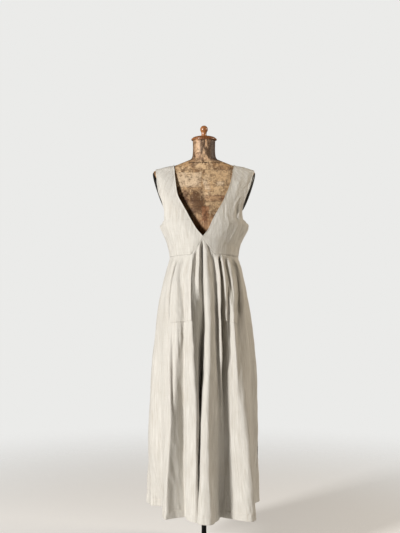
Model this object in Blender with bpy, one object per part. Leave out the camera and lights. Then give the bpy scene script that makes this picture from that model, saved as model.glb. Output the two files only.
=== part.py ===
# A linen pinafore dress with a deep V neck, wide straps, a peaked waist seam, a pleated skirt and
# two patch pockets, worn by a limbless dress form on a pole with a round floor plate.
# Metres, +Z up. The front faces -Y, and left and right are as seen from the front.
# The origin is the middle of the floor plate's underside.

import math
from collections import namedtuple

import bmesh
import bpy
from mathutils import Vector
from mathutils.bvhtree import BVHTree

# Heights above the floor
HEM_HEIGHT = 0.180
WAIST_SIDE_HEIGHT = 1.137
WAIST_FRONT_HEIGHT = 1.147
WAIST_PEAK_HEIGHT = 1.205
FORM_BOTTOM_HEIGHT = 0.820
NECK_TOP_HEIGHT = 1.584

# Cloth and seams
CLOTH = 0.0016
SEAM_GAP = 0.0003
POCKET_GAP = 0.0005
PEAK_HALF_WIDTH = 0.046
PEAK_SHARPNESS = 1.2
FRONT_CENTRE = -0.0045
GATHER_DEPTH = 0.030
STRAP_CLEARANCE = 0.0007
CLOTH_CLEARANCE = 0.0010
LAYING_PASSES = 4

# Grid steps of the cloth walls
STEPS_PER_FOLD = 3
STEPS_PER_STATION = 3
BODICE_SHARES = (0, 0.07, 0.14, 0.21, 0.31, 0.42, 0.55, 0.70, 0.85, 1)
SKIRT_ROWS = (0, 0.02, 0.05, 0.10, 0.17, 0.235, 0.29, 0.38, 0.49, 0.61, 0.74, 0.87, 1)

# Pockets: the first and last step of the skirt's grid that each one covers, and the heights of its
# lower edge at those two steps
Pocket = namedtuple("Pocket", "name first last first_foot last_foot mouth_at_first")
POCKETS = (
    Pocket("pocket_left", 12, 24, 0.892, 0.903, True),
    Pocket("pocket_right", 53, 63, 0.900, 0.890, False),
)
MOUTH_GAPE = 0.007
MOUTH_FADE = 0.35

# Stand
POLE_RADIUS = 0.0095
FLANGE_RADIUS = 0.034
FLANGE_THICKNESS = 0.008
COLLAR_RADIUS = 0.021
COLLAR_HEIGHT = 0.042
PLATE_RADIUS = 0.170
PLATE_THICKNESS = 0.009
BOARD_THICKNESS = 0.018
BOARD_SHARE = 0.96
PLATE_SIDES = 40
POLE_SIDES = 20

# Turned neck cap and its knob
CAP_RADIUS = 0.0492
CAP_FOOT_RADIUS = 0.0450
CAP_RIM_THICKNESS = 0.0070
CAP_DOME_HEIGHT = 0.0110
CAP_LEDGE = 0.0040
KNOB_STEM_RADIUS = 0.0100
KNOB_STEM_HEIGHT = 0.012
KNOB_RADIUS = 0.0148
KNOB_MIDDLE_HEIGHT = 0.0245
CAP_SIDES = 28
KNOB_SIDES = 20

# Dress form
FORM_SIDES = 38
FORM_ROUNDNESS = 2.3
ARM_PLANE_LOW = (0.1415, 1.311)
ARM_PLANE_HIGH = (0.1905, 1.452)
ARM_PLATE_RIM = 0.0025
ARM_PLATE_DOME = 0.0085
ARM_PLATE_HALF_LENGTH = 0.078
ARM_PLATE_HALF_DEPTH = 0.050
ARM_PLATE_FOOT = 0.002
ARM_PLATE_SIDES = 32
ARM_PLATE_DOME_RINGS = 4

# The bell that the skirt hangs in, before its folds
Outline = namedtuple("Outline", "height half_width front back")
BELL = (
    Outline(0.180, 0.222, 0.205, 0.214),
    Outline(0.330, 0.216, 0.203, 0.209),
    Outline(0.500, 0.209, 0.200, 0.203),
    Outline(0.700, 0.200, 0.196, 0.193),
    Outline(0.800, 0.191, 0.190, 0.184),
    Outline(0.885, 0.181, 0.182, 0.173),
    Outline(0.965, 0.170, 0.174, 0.160),
    Outline(1.040, 0.155, 0.162, 0.143),
    Outline(1.090, 0.143, 0.150, 0.126),
    Outline(1.137, 0.1315, 0.138, 0.108),
    Outline(1.212, 0.1420, 0.1485, 0.110),
)

# Each ridge and valley of the skirt is a line from the waist to the hem. Its place round the body
# is in degrees from the front's middle, and its reach outside the bell is in millimetres, both at
# four heights: below the waist seam, at the hip, at the knee and at the hem.
FOLD_HEIGHTS = (1.060, 0.885, 0.500, 0.180)
Fold = namedtuple(
    "Fold",
    "name turn_waist turn_hip turn_knee turn_hem out_waist out_hip out_knee out_hem",
)
FRONT_FOLDS = (
    Fold("left side seam", -90, -90, -90, -90, 0, 0, 3, -16),
    Fold("left side swell", -80, -78, -74, -87, 1, 3, 2, -54),
    Fold("left side valley", -69, -63, -55, -72, -2, -3, -14, -76),
    Fold("left pocket ridge", -60, -50, -42, -40, 4, 5, 6, 12),
    Fold("left pocket mouth", -51, -44, -33.5, -34.5, -5, 1, 19, 30),
    Fold("pocket pleat", -43, -34.5, -30.5, -29.5, 4, 1, -5, -6),
    Fold("left front valley", -34, -26, -26, -21.5, -7, -17, -38, -34),
    Fold("left front flank", -26, -20, -17.5, -17.5, -1, -1, 0, -8),
    Fold("left front ridge", -18, -14, -7.6, -7.7, 5, 9, 13, 32),
    Fold("pleat edge", -13.5, -9.9, -5.6, -5.6, -7, -6, -2, 30),
    Fold("pleat wall", -7.7, -5.5, -9.2, -12, 4, -42, -70, -72),
    Fold("centre pleat", -3.4, -0.8, -8.3, -11, -20, -62, -98, -100),
    Fold("centre lip", -0.4, 1.7, -1.9, -4.0, 2, 3, 12, 50),
    Fold("centre ridge", 4, 6, 3, 4, 8, 14, 22, 63),
    Fold("centre shoulder", 8.8, 10.5, 7, 10.1, 3, 3, 11, 22),
    Fold("centre valley", 17, 16.5, 15, 14.3, -10, -17, -16, -2),
    Fold("inner ridge", 22.3, 19.8, 20.5, 18.4, 4, 2, -27, -32),
    Fold("deep pleat", 26, 23.8, 26.5, 22.5, -24, -48, -40, -16),
    Fold("outer ridge", 30, 28.6, 31, 26.7, 4, -7, -32, 5),
    Fold("outer flank", 37, 32.4, 32, 30.2, -6, -11, -9, 34),
    Fold("right pocket ridge", 43.5, 36, 34.5, 35.9, 5, 9, 18, 70),
    Fold("right pocket mouth", 54, 43, 39.5, 39.6, -8, -3, 37, 68),
    Fold("right side edge", 63, 53, 52, 52, 4, 5, 8, 17),
    Fold("right side valley", 71, 63, 68, 68, -2, -3, -15, -25),
    Fold("right side swell", 80, 77, 80, 82, 2, 4, -2, -32),
    Fold("right side seam", 90, 90, 90, 90, 0, -2, -3, -30),
)
BACK_FOLDS = (
    Fold("right side seam", 90, 90, 90, 90, 0, -2, -3, -30),
    Fold("right back valley", 101, 101, 100, 101, -2, -4, -6, -20),
    Fold("right back ridge", 113, 112, 111, 111.5, 3, 6, 10, 12),
    Fold("second valley", 124, 124, 125, 125, -5, -8, -20, -36),
    Fold("second ridge", 135, 137, 139, 140, 4, 8, 15, 28),
    Fold("third valley", 147, 149, 150, 152, -6, -10, -22, -38),
    Fold("third ridge", 158, 159, 161, 163, 4, 9, 17, 26),
    Fold("fourth valley", 168, 168, 170, 173, -7, -12, -25, -43),
    Fold("centre back ridge", 179, 180, 181, 184, 5, 10, 20, 32),
    Fold("fifth valley", 190, 191, 193, 196, -7, -12, -23, -39),
    Fold("fifth ridge", 202, 203, 204, 205, 4, 8, 15, 29),
    Fold("sixth valley", 213, 213, 215, 216, -5, -9, -19, -32),
    Fold("sixth ridge", 224, 226, 228, 227, 4, 7, 13, 24),
    Fold("seventh valley", 236, 237, 239, 240, -5, -8, -15, -32),
    Fold("seventh ridge", 248, 249, 250, 252, 3, 5, 8, 15),
    Fold("left back valley", 259, 260, 260, 261, -1, -2, 2, -9),
    Fold("left side seam", 270, 270, 270, 270, 0, 0, 3, -16),
)

# Each bodice piece is laid through stations from the waist to the shoulder, from its neck edge to
# its side or armhole edge. Fullness 1 is a straight cloth between them and 2 a quarter ellipse.
# The last two columns move those edges outward on the left side, which hangs a little wider.
Station = namedtuple(
    "Station",
    "name neck_x neck_y neck_z arm_x arm_y arm_z fullness left_neck left_arm",
)
HALF_GAP = SEAM_GAP / 2
FRONT_STATIONS = (
    Station("above the waist", 0, -0.1483, 1.2115, 0.1325, 0, 1.149, 2.0, 0, 0),
    Station("rib", 0.0145, -0.1465, 1.2370, 0.1420, 0, 1.190, 2.1, 0.0115, 0),
    Station("underarm", 0.0305, -0.1420, 1.2720, 0.1690, 0, 1.250, 2.1, 0.0170, -0.0025),
    Station("bust", 0.0500, -0.1335, 1.3080, 0.1460, -0.062, 1.273, 1.9, 0.0170, 0.0020),
    Station("armhole", 0.0665, -0.1230, 1.3370, 0.1409, -0.080, 1.302, 1.6, 0.0165, 0.0070),
    Station("chest", 0.0785, -0.1120, 1.3640, 0.1484, -0.080, 1.337, 1.4, 0.0180, 0.0080),
    Station("low strap", 0.0915, -0.0965, 1.3930, 0.1628, -0.070, 1.376, 1.3, 0.0115, 0.0070),
    Station("strap", 0.1025, -0.0755, 1.4280, 0.1782, -0.050, 1.418, 1.3, 0.0055, -0.0010),
    Station("high strap", 0.1095, -0.0455, 1.4640, 0.1885, -0.034, 1.450, 1.3, 0.0025, -0.0080),
    Station("shoulder top", 0.1120, -0.0270, 1.4790, 0.1905, -0.017, 1.463, 1.5, 0.0010, -0.0085),
)
BACK_STATIONS = (
    Station("above the waist", 0, 0.1090, 1.149, 0.1325, 0, 1.149, 2.0, 0, 0),
    Station("rib", 0, 0.1130, 1.195, 0.1420, 0, 1.190, 2.1, 0, 0),
    Station("underarm", 0, 0.1170, 1.252, 0.1690, 0, 1.250, 2.1, 0, -0.0025),
    Station("blade", 0, 0.1180, 1.290, 0.1480, 0.058, 1.276, 1.9, 0, 0.0020),
    Station("low back", 0.0200, 0.1165, 1.3270, 0.1425, 0.077, 1.308, 1.6, 0, 0.0040),
    Station("back", 0.0430, 0.1110, 1.3640, 0.1500, 0.080, 1.342, 1.4, 0, 0.0040),
    Station("low strap", 0.0680, 0.1000, 1.4020, 0.1640, 0.072, 1.380, 1.3, 0, 0.0020),
    Station("strap", 0.0920, 0.0790, 1.4370, 0.1785, 0.053, 1.420, 1.3, 0, -0.0020),
    Station("high strap", 0.1070, 0.0480, 1.4660, 0.1880, 0.036, 1.450, 1.3, 0, -0.0080),
    Station("shoulder top", 0.1110, 0.0290, 1.4795, 0.1900, 0.018, 1.463, 1.5, 0, -0.0085),
)
# Station, counted from the seam, where the side seam ends, and where the centre edges part
UNDERARM_STATION = 3
FRONT_PARTING_STATION = 1
BACK_PARTING_STATION = 4
SHOULDER_NECK = 0.1135
SHOULDER_ARM = 0.1905
SHOULDER_LEFT_NECK = 0.001
SHOULDER_LEFT_ARM = -0.009
SHOULDER_RISE = 0.2

# Level sections of the dress form, from its bottom to the top of its neck
Section = namedtuple("Section", "height half_width front back")
FORM = (
    Section(FORM_BOTTOM_HEIGHT, 0.144, 0.098, 0.098),
    Section(0.860, 0.149, 0.101, 0.104),
    Section(0.910, 0.149, 0.099, 0.106),
    Section(0.970, 0.140, 0.094, 0.099),
    Section(1.030, 0.123, 0.087, 0.088),
    Section(1.085, 0.109, 0.081, 0.078),
    Section(1.140, 0.112, 0.088, 0.078),
    Section(1.200, 0.126, 0.106, 0.083),
    Section(1.260, 0.1415, 0.119, 0.088),
    Section(1.290, 0.1415, 0.118, 0.090),
    Section(1.311, 0.1415, 0.115, 0.092),
    Section(1.330, 0.1580, 0.109, 0.092),
    Section(1.355, 0.1720, 0.101, 0.092),
    Section(1.400, 0.1900, 0.085, 0.086),
    Section(1.435, 0.1990, 0.068, 0.074),
    Section(1.452, 0.2015, 0.056, 0.063),
    Section(1.463, 0.1945, 0.050, 0.056),
    Section(1.4735, 0.172, 0.047, 0.052),
    Section(1.4865, 0.1135, 0.046, 0.050),
    Section(1.4960, 0.0880, 0.046, 0.049),
    Section(1.5040, 0.0680, 0.045, 0.048),
    Section(1.5125, 0.0500, 0.0445, 0.047),
    Section(1.5240, 0.0445, 0.0430, 0.0455),
    Section(1.5500, 0.0425, 0.0415, 0.0440),
    Section(NECK_TOP_HEIGHT, 0.0432, 0.0420, 0.0445),
)

# Colour, roughness and metallic value of each finish
LINEN = ((0.72, 0.67, 0.58), 0.9, 0)
POCKET_LINEN = ((0.72, 0.67, 0.58), 0.9, 0)
PAPER_SKIN = ((0.44, 0.30, 0.17), 0.6, 0)
TURNED_WOOD = ((0.30, 0.11, 0.04), 0.4, 0)
BLACK_WOOD = ((0.012, 0.011, 0.010), 0.35, 0)
BOARD_WOOD = ((0.25, 0.15, 0.08), 0.6, 0)
BLACK_STEEL = ((0.015, 0.015, 0.014), 0.4, 0.8)


def clear_scene():
    for item in list(bpy.data.objects):
        bpy.data.objects.remove(item, do_unlink=True)


def add_object(name, mesh, finish):
    colour, roughness, metallic = finish
    material = bpy.data.materials.new(name)
    material.use_nodes = True
    shader = material.node_tree.nodes["Principled BSDF"]
    shader.inputs["Base Color"].default_value = (*colour, 1)
    shader.inputs["Roughness"].default_value = roughness
    shader.inputs["Metallic"].default_value = metallic
    mesh.materials.append(material)
    mesh.shade_smooth()
    mesh.set_sharp_from_angle(angle=math.radians(50))
    item = bpy.data.objects.new(name, mesh)
    bpy.context.scene.collection.objects.link(item)
    return item


def add_solid(name, shape, finish):
    bmesh.ops.recalc_face_normals(shape, faces=shape.faces)
    mesh = bpy.data.meshes.new(name)
    shape.to_mesh(mesh)
    shape.free()
    return add_object(name, mesh, finish)


def curve_value(places, values, place):
    # A smooth curve through the values that never swings past them
    if place <= places[0]:
        return values[0]
    if place >= places[-1]:
        return values[-1]
    count = len(places) - 1
    rises = [(values[i + 1] - values[i]) / (places[i + 1] - places[i]) for i in range(count)]
    slopes = [rises[0]]
    for before, after in zip(rises, rises[1:]):
        level = before * after <= 0
        slopes.append(0 if level else 2 * before * after / (before + after))
    slopes.append(rises[-1])
    i = next(i for i in range(count) if place <= places[i + 1])
    width = places[i + 1] - places[i]
    t = (place - places[i]) / width
    start = values[i] * (1 + 2 * t) * (1 - t) ** 2 + values[i + 1] * t * t * (3 - 2 * t)
    return start + width * (slopes[i] * t * (1 - t) ** 2 - slopes[i + 1] * t * t * (1 - t))


def section_at(sections, height):
    # Half width, front depth and back depth of a table of level sections at this height
    heights = [row.height for row in sections]
    return [curve_value(heights, [row[column] for row in sections], height) for column in (1, 2, 3)]


def bell_point(turn, out, height):
    half_width, front, back = section_at(BELL, height)
    depth = front if math.cos(turn) >= 0 else back
    return Vector(
        (
            (half_width + out) * math.sin(turn),
            -(depth + out) * math.cos(turn),
            height,
        )
    )


def waist_height(turn):
    # The waist seam is level behind, drops a little from front to side, and peaks at the middle
    if math.cos(turn) <= 0:
        return WAIST_SIDE_HEIGHT
    side = math.sin(turn)
    level = WAIST_FRONT_HEIGHT + (WAIST_SIDE_HEIGHT - WAIST_FRONT_HEIGHT) * side**2
    half_width = section_at(BELL, level)[0]
    reach = max(0, 1 - abs(half_width * side - FRONT_CENTRE) / PEAK_HALF_WIDTH)
    return level + (WAIST_PEAK_HEIGHT - WAIST_FRONT_HEIGHT) * reach**PEAK_SHARPNESS


def seam_turn(side, share, front):
    # Where a bodice piece's column starts on the waist seam, from its centre to its side
    centre = math.asin(FRONT_CENTRE / section_at(BELL, WAIST_PEAK_HEIGHT)[0]) if front else 0
    turn = centre + (side * math.pi / 2 - centre) * share
    return turn if front else math.pi - turn


def waist_corners():
    # The seam's corners, which both its cloths share: turn, point and slant of the seam there
    turns = set()
    for side in (-1, 1):
        for front in (True, False):
            turns.update(seam_turn(side, share, front) for share in BODICE_SHARES)
    turns = sorted(turns)
    points = [bell_point(turn, 0, waist_height(turn)) for turn in turns]
    runs = [b - a for a, b in zip(points, points[1:])]
    slants = [run.length / math.hypot(run.x, run.y) for run in runs]
    slants = [max(pair) for pair in zip([1, *slants], [*slants, 1])]
    return list(zip(turns, points, slants))


def waist_point(corners, turn, side_of_seam):
    # A point of the waist seam: side_of_seam is 1 for the bodice's edge and -1 for the skirt's
    i = next(i for i in range(len(corners) - 1) if turn <= corners[i + 1][0] + 1e-9)
    start, start_point, start_slant = corners[i]
    end, end_point, end_slant = corners[i + 1]
    share = (turn - start) / (end - start)
    point = start_point.lerp(end_point, share)
    point.z += side_of_seam * HALF_GAP * (start_slant + (end_slant - start_slant) * share)
    return point


def blend_folds(folds, across):
    # Turn and reach of the cloth at this place between the fold lines, counted from the first one
    places = range(len(folds))
    return [curve_value(places, [fold[k] for fold in folds], across) for k in range(1, 9)]


def skirt_grid(folds, corners):
    # Middle of the skirt's wall: rows from the waist seam to the hem, steps from seam to seam
    steps = range((len(folds) - 1) * STEPS_PER_FOLD + 1)
    places = [blend_folds(folds, step / STEPS_PER_FOLD) for step in steps]
    starts = [math.radians(values[0]) for values in places]
    for corner in corners:
        if starts[0] <= corner[0] <= starts[-1]:
            nearest = min(steps, key=lambda step: abs(starts[step] - corner[0]))
            starts[nearest] = corner[0]
    columns = []
    heights = FOLD_HEIGHTS[::-1]
    for step, values in zip(steps, places):
        turns = values[3::-1]
        outs = values[:3:-1]
        top = waist_point(corners, starts[step], -1)
        column = [top]
        for down in SKIRT_ROWS[1:]:
            height = top.z + (HEM_HEIGHT - top.z) * down
            onset = min(1, (top.z - height) / GATHER_DEPTH)
            onset = onset * onset * (3 - 2 * onset)
            turn = math.radians(curve_value(heights, turns, height))
            out = curve_value(heights, outs, height) * onset / 1000
            column.append(bell_point(turn, out, height))
        columns.append(column)
    return columns


def grid_normals(columns):
    # Outward unit normals of a grid whose columns run down the front from left to right
    normals = []
    last_column = len(columns) - 1
    last_row = len(columns[0]) - 1
    for i, column in enumerate(columns):
        normals.append([])
        for j in range(last_row + 1):
            across = columns[min(i + 1, last_column)][j] - columns[max(i - 1, 0)][j]
            down = column[min(j + 1, last_row)] - column[max(j - 1, 0)]
            normals[-1].append(down.cross(across).normalized())
    return normals


def flatten(normals, columns=(), rows=(), axis=1):
    # Turns the normals along a seam into that seam's plane, so that both its cloths end there
    for i, column in enumerate(normals):
        for j, normal in enumerate(column):
            if i in columns or j in rows:
                normal[axis] = 0
                normal.normalize()


def moved_out(columns, normals, distance):
    return [
        [point + normal * distance for point, normal in zip(*pair)]
        for pair in zip(columns, normals)
    ]


def add_wall(name, columns, normals, thickness, finish):
    # A closed wall of this thickness about a grid of points
    shape = bmesh.new()
    outer = moved_out(columns, normals, thickness / 2)
    inner = moved_out(columns, normals, -thickness / 2)
    outer = [[shape.verts.new(point) for point in column] for column in outer]
    inner = [[shape.verts.new(point) for point in column] for column in inner]
    last_column = len(outer) - 1
    last_row = len(outer[0]) - 1
    for i in range(last_column):
        for j in range(last_row):
            for skin in (outer, inner):
                shape.faces.new((skin[i][j], skin[i + 1][j], skin[i + 1][j + 1]))
                shape.faces.new((skin[i][j], skin[i + 1][j + 1], skin[i][j + 1]))
        for j in (0, last_row):
            shape.faces.new((outer[i][j], outer[i + 1][j], inner[i + 1][j], inner[i][j]))
    for j in range(last_row):
        for i in (0, last_column):
            shape.faces.new((outer[i][j], outer[i][j + 1], inner[i][j + 1], inner[i][j]))
    return add_solid(name, shape, finish)


def open_side_seam(columns, towards):
    # Draws the two edges of a skirt panel back from the side seams
    for column in (columns[0], columns[-1]):
        for point in column:
            point.y = towards * HALF_GAP


def add_skirt(corners):
    front = skirt_grid(FRONT_FOLDS, corners)
    open_side_seam(front, -1)
    back = skirt_grid(BACK_FOLDS, corners)
    open_side_seam(back, 1)
    for name, columns in (("skirt_front", front), ("skirt_back", back)):
        normals = grid_normals(columns)
        flatten(normals, rows=(0, len(SKIRT_ROWS) - 1), axis=2)
        flatten(normals, columns=(0, len(columns) - 1), axis=1)
        add_wall(name, columns, normals, CLOTH, LINEN)
        if name == "skirt_front":
            for pocket in POCKETS:
                add_pocket(pocket, columns, normals)


def add_pocket(pocket, columns, normals):
    # A patch laid on the skirt's own points, moved out, with its mouth lifted along the outer edge
    steps = range(pocket.first, pocket.last + 1)
    feet = {}
    for i in steps:
        share = (i - pocket.first) / (pocket.last - pocket.first)
        foot = pocket.first_foot + (pocket.last_foot - pocket.first_foot) * share
        column = columns[i]
        j = next(j for j in range(len(column) - 1) if column[j + 1].z <= foot)
        part = (column[j].z - foot) / (column[j].z - column[j + 1].z)
        feet[i] = (j, part)
    whole_rows = min(j for j, part in feet.values())
    grid = []
    outward = []
    for i in steps:
        j, part = feet[i]
        points = columns[i][: whole_rows + 1]
        facing = normals[i][: whole_rows + 1]
        points = points + [columns[i][j].lerp(columns[i][j + 1], part)]
        facing = facing + [normals[i][j].lerp(normals[i][j + 1], part).normalized()]
        mouth = i - pocket.first if pocket.mouth_at_first else pocket.last - i
        raised = []
        for row, (point, normal) in enumerate(zip(points, facing)):
            gape = MOUTH_GAPE * math.sin(math.pi * row / (whole_rows + 1)) * MOUTH_FADE**mouth
            raised.append(point + normal * (CLOTH + POCKET_GAP + gape))
        grid.append(raised)
        outward.append(facing)
    add_wall(pocket.name, grid, outward, CLOTH, POCKET_LINEN)


def shoulder_height(x):
    # Height of the form's shoulder ridge at this distance from its middle
    ridge = [row for row in FORM if 1.46 < row.height < 1.52]
    widths = [row.half_width for row in reversed(ridge)]
    heights = [row.height for row in reversed(ridge)]
    return curve_value(widths, heights, x)


def surface_of(items):
    points = []
    faces = []
    for item in items:
        start = len(points)
        points += [vert.co for vert in item.data.vertices]
        faces += [[start + i for i in face.vertices] for face in item.data.polygons]
    return BVHTree.FromPolygons(points, faces)


def push_out(surface, point, clearance):
    # The move that takes a point this far outside the surface, or none if it is there already
    nearest, facing, _, distance = surface.find_nearest(point)
    if (point - nearest).dot(facing) < 0 or distance < clearance:
        return nearest + facing * clearance - point
    return Vector()


def lay_over(surface, columns, clearance):
    # Pushes a grid out of the surface, at its points and halfway between them
    last_row = len(columns[0]) - 1
    cells = [(i, j) for i in range(len(columns) - 1) for j in range(1, last_row - 1)]
    for _ in range(LAYING_PASSES):
        for column in columns:
            for point in column[1:-1]:
                point += push_out(surface, point, clearance)
        for i, j in cells:
            for k, m in ((i + 1, j), (i, j + 1), (i + 1, j + 1)):
                start = columns[i][j]
                end = columns[k][m]
                move = push_out(surface, (start + end) / 2, clearance)
                start += move
                end += move


def bodice_grid(stations, side, front, form, corners):
    # Columns from the neck edge to the armhole, each from the waist to the shoulder
    left = side < 0
    columns = []
    facing = -1 if front else 1
    centre = FRONT_CENTRE if front else 0
    for share in BODICE_SHARES:
        angle = share * math.pi / 2
        rail = [waist_point(corners, seam_turn(side, share, front), 1)]
        rail[0].x *= side
        for row in stations:
            neck_x = row.neck_x + row.left_neck * left if row.neck_x else centre * side
            arm_x = row.arm_x + row.left_arm * left
            along = math.sin(angle) ** (2 / row.fullness)
            fore = math.cos(angle) ** (2 / row.fullness) if share < 1 else 0
            x = neck_x + (arm_x - neck_x) * along
            y = row.arm_y + (row.neck_y - row.arm_y) * fore
            rail.append(Vector((x, y, row.neck_z + (row.arm_z - row.neck_z) * share)))
        neck_x = SHOULDER_NECK + SHOULDER_LEFT_NECK * left
        arm_x = SHOULDER_ARM + SHOULDER_LEFT_ARM * left
        x = neck_x + (arm_x - neck_x) * share
        rail.append(Vector((x, 0, shoulder_height(x) + STRAP_CLEARANCE + CLOTH / 2)))
        places = list(range(len(rail)))
        column = []
        for row in range((len(rail) - 1) * STEPS_PER_STATION + 1):
            place = row / STEPS_PER_STATION
            point = Vector([curve_value(places, [p[axis] for p in rail], place) for axis in range(3)])
            point.x *= side
            column.append(point)
        columns.append(column)
    lay_over(form, columns, CLOTH_CLEARANCE + CLOTH / 2)
    for column in columns:
        for point in column:
            point.x = centre + max((point.x - centre) * side, HALF_GAP) * side
            point.y = max(point.y * facing, HALF_GAP) * facing
    return columns


def outward(point, near_top):
    # The way out from the body's axis, which leans upward on top of the shoulder
    return Vector((point.x, point.y, SHOULDER_RISE if near_top else 0))


def add_bodice(form, corners):
    underarm = UNDERARM_STATION * STEPS_PER_STATION
    for front, stations in ((True, FRONT_STATIONS), (False, BACK_STATIONS)):
        parting = FRONT_PARTING_STATION if front else BACK_PARTING_STATION
        for side, name in ((-1, "left"), (1, "right")):
            columns = bodice_grid(stations, side, front, form, corners)
            last_row = len(columns[0]) - 1
            normals = grid_normals(columns)
            for i, column in enumerate(normals):
                for j, normal in enumerate(column):
                    if normal.dot(outward(columns[i][j], j > last_row - 4)) < 0:
                        normal.negate()
                    if j == 0:
                        normal.z = 0
                    if j == last_row or (i == len(columns) - 1 and j <= underarm):
                        normal.y = 0
                    if i == 0 and j <= parting * STEPS_PER_STATION:
                        normal.x = 0
                    normal.normalize()
            face = "front" if front else "back"
            add_wall(f"bodice_{face}_{name}", columns, normals, CLOTH, LINEN)


def form_ring(section, share=1, height=None):
    half_width, front, back = section[1:]
    ring = []
    power = 2 / FORM_ROUNDNESS
    for step in range(FORM_SIDES):
        turn = 2 * math.pi * step / FORM_SIDES
        across = math.copysign(abs(math.sin(turn)) ** power, math.sin(turn))
        fore = math.copysign(abs(math.cos(turn)) ** power, math.cos(turn))
        depth = front if fore > 0 else back
        level = section[0] if height is None else height
        ring.append(Vector((half_width * across * share, -depth * fore * share, level)))
    return ring


def loft(rings):
    # A closed solid through rings of points, from the lowest to the highest
    shape = bmesh.new()
    loops = [[shape.verts.new(point) for point in ring] for ring in rings]
    shape.faces.new(loops[0])
    shape.faces.new(loops[-1])
    for low, high in zip(loops, loops[1:]):
        for i in range(len(low)):
            k = (i + 1) % len(low)
            shape.faces.new((low[i], low[k], high[k], high[i]))
    return shape


def arm_plane(height):
    # Distance of the flat armhole from the middle at this height
    run = ARM_PLANE_HIGH[0] - ARM_PLANE_LOW[0]
    rise = ARM_PLANE_HIGH[1] - ARM_PLANE_LOW[1]
    return ARM_PLANE_LOW[0] + (height - ARM_PLANE_LOW[1]) * run / rise


def arm_plate(side):
    # A thin oval that domes outward, laid on the flat armhole
    low = Vector((side * ARM_PLANE_LOW[0], 0, ARM_PLANE_LOW[1]))
    high = Vector((side * ARM_PLANE_HIGH[0], 0, ARM_PLANE_HIGH[1]))
    along = (high - low).normalized()
    facing = Vector((side * along.z, 0, -side * along.x))
    middle = low + along * (ARM_PLATE_HALF_LENGTH + ARM_PLATE_FOOT)
    rings = []
    layers = [(1, 0), (1, ARM_PLATE_RIM)]
    for step in range(1, ARM_PLATE_DOME_RINGS + 1):
        share = step / (ARM_PLATE_DOME_RINGS + 0.4)
        layers.append((1 - share**1.6, ARM_PLATE_RIM + ARM_PLATE_DOME * (1 - (1 - share) ** 2)))
    for size, lift in layers:
        ring = []
        for step in range(ARM_PLATE_SIDES):
            turn = 2 * math.pi * step / ARM_PLATE_SIDES
            point = middle + facing * (SEAM_GAP + lift)
            point += along * (ARM_PLATE_HALF_LENGTH * size * math.cos(turn))
            point.y += ARM_PLATE_HALF_DEPTH * size * math.sin(turn)
            ring.append(point)
        rings.append(ring)
    return loft(rings)


def add_form():
    rings = [form_ring(section) for section in FORM]
    for ring in rings:
        for point in ring:
            if point.z > ARM_PLANE_LOW[1]:
                reach = arm_plane(point.z)
                point.x = max(-reach, min(reach, point.x))
    items = [add_solid("form_body", loft(rings), PAPER_SKIN)]
    for side, name in ((-1, "left"), (1, "right")):
        items.append(add_solid(f"form_arm_plate_{name}", arm_plate(side), BLACK_WOOD))
    top = FORM_BOTTOM_HEIGHT - SEAM_GAP
    rings = [form_ring(FORM[0], BOARD_SHARE, height) for height in (top - BOARD_THICKNESS, top)]
    add_solid("form_bottom_board", loft(rings), BOARD_WOOD)
    return surface_of(items)


def arc(centre_radius, centre_height, radius, start, end, steps):
    # Points of a turned profile's round corner, by angle above the horizontal
    points = []
    for step in range(steps + 1):
        angle = math.radians(start + (end - start) * step / steps)
        points.append(
            (centre_radius + radius * math.cos(angle), centre_height + radius * math.sin(angle))
        )
    return points


def add_turned(name, profile, sides, finish):
    # A solid turned about the upright axis from a profile of radii and heights, bottom to top
    rings = []
    for radius, height in profile:
        turns = [2 * math.pi * step / sides for step in range(sides)]
        rings.append([Vector((radius * math.cos(a), radius * math.sin(a), height)) for a in turns])
    return add_solid(name, loft(rings), finish)


def add_neck_cap():
    base = NECK_TOP_HEIGHT + SEAM_GAP
    half = CAP_RIM_THICKNESS / 2
    profile = [(CAP_FOOT_RADIUS, base)]
    profile += arc(CAP_RADIUS - half, base + half, half, -60, 60, 4)
    for step in range(1, 5):
        angle = math.pi / 2 * step / 5
        radius = (CAP_RADIUS - CAP_LEDGE) * math.cos(angle)
        profile.append((radius, base + CAP_RIM_THICKNESS + CAP_DOME_HEIGHT * math.sin(angle)))
    knob_base = base + CAP_RIM_THICKNESS + CAP_DOME_HEIGHT
    profile.append((KNOB_STEM_RADIUS + 0.0005, knob_base))
    add_turned("neck_cap", profile, CAP_SIDES, TURNED_WOOD)
    foot = knob_base + SEAM_GAP
    stem = [
        (KNOB_STEM_RADIUS + 0.001, foot),
        (KNOB_STEM_RADIUS, foot + 0.004),
        (KNOB_STEM_RADIUS, foot + KNOB_STEM_HEIGHT),
    ]
    head = arc(0, foot + KNOB_MIDDLE_HEIGHT, KNOB_RADIUS, -38, 78, 7)
    add_turned("cap_knob", stem + head, KNOB_SIDES, TURNED_WOOD)


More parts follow.
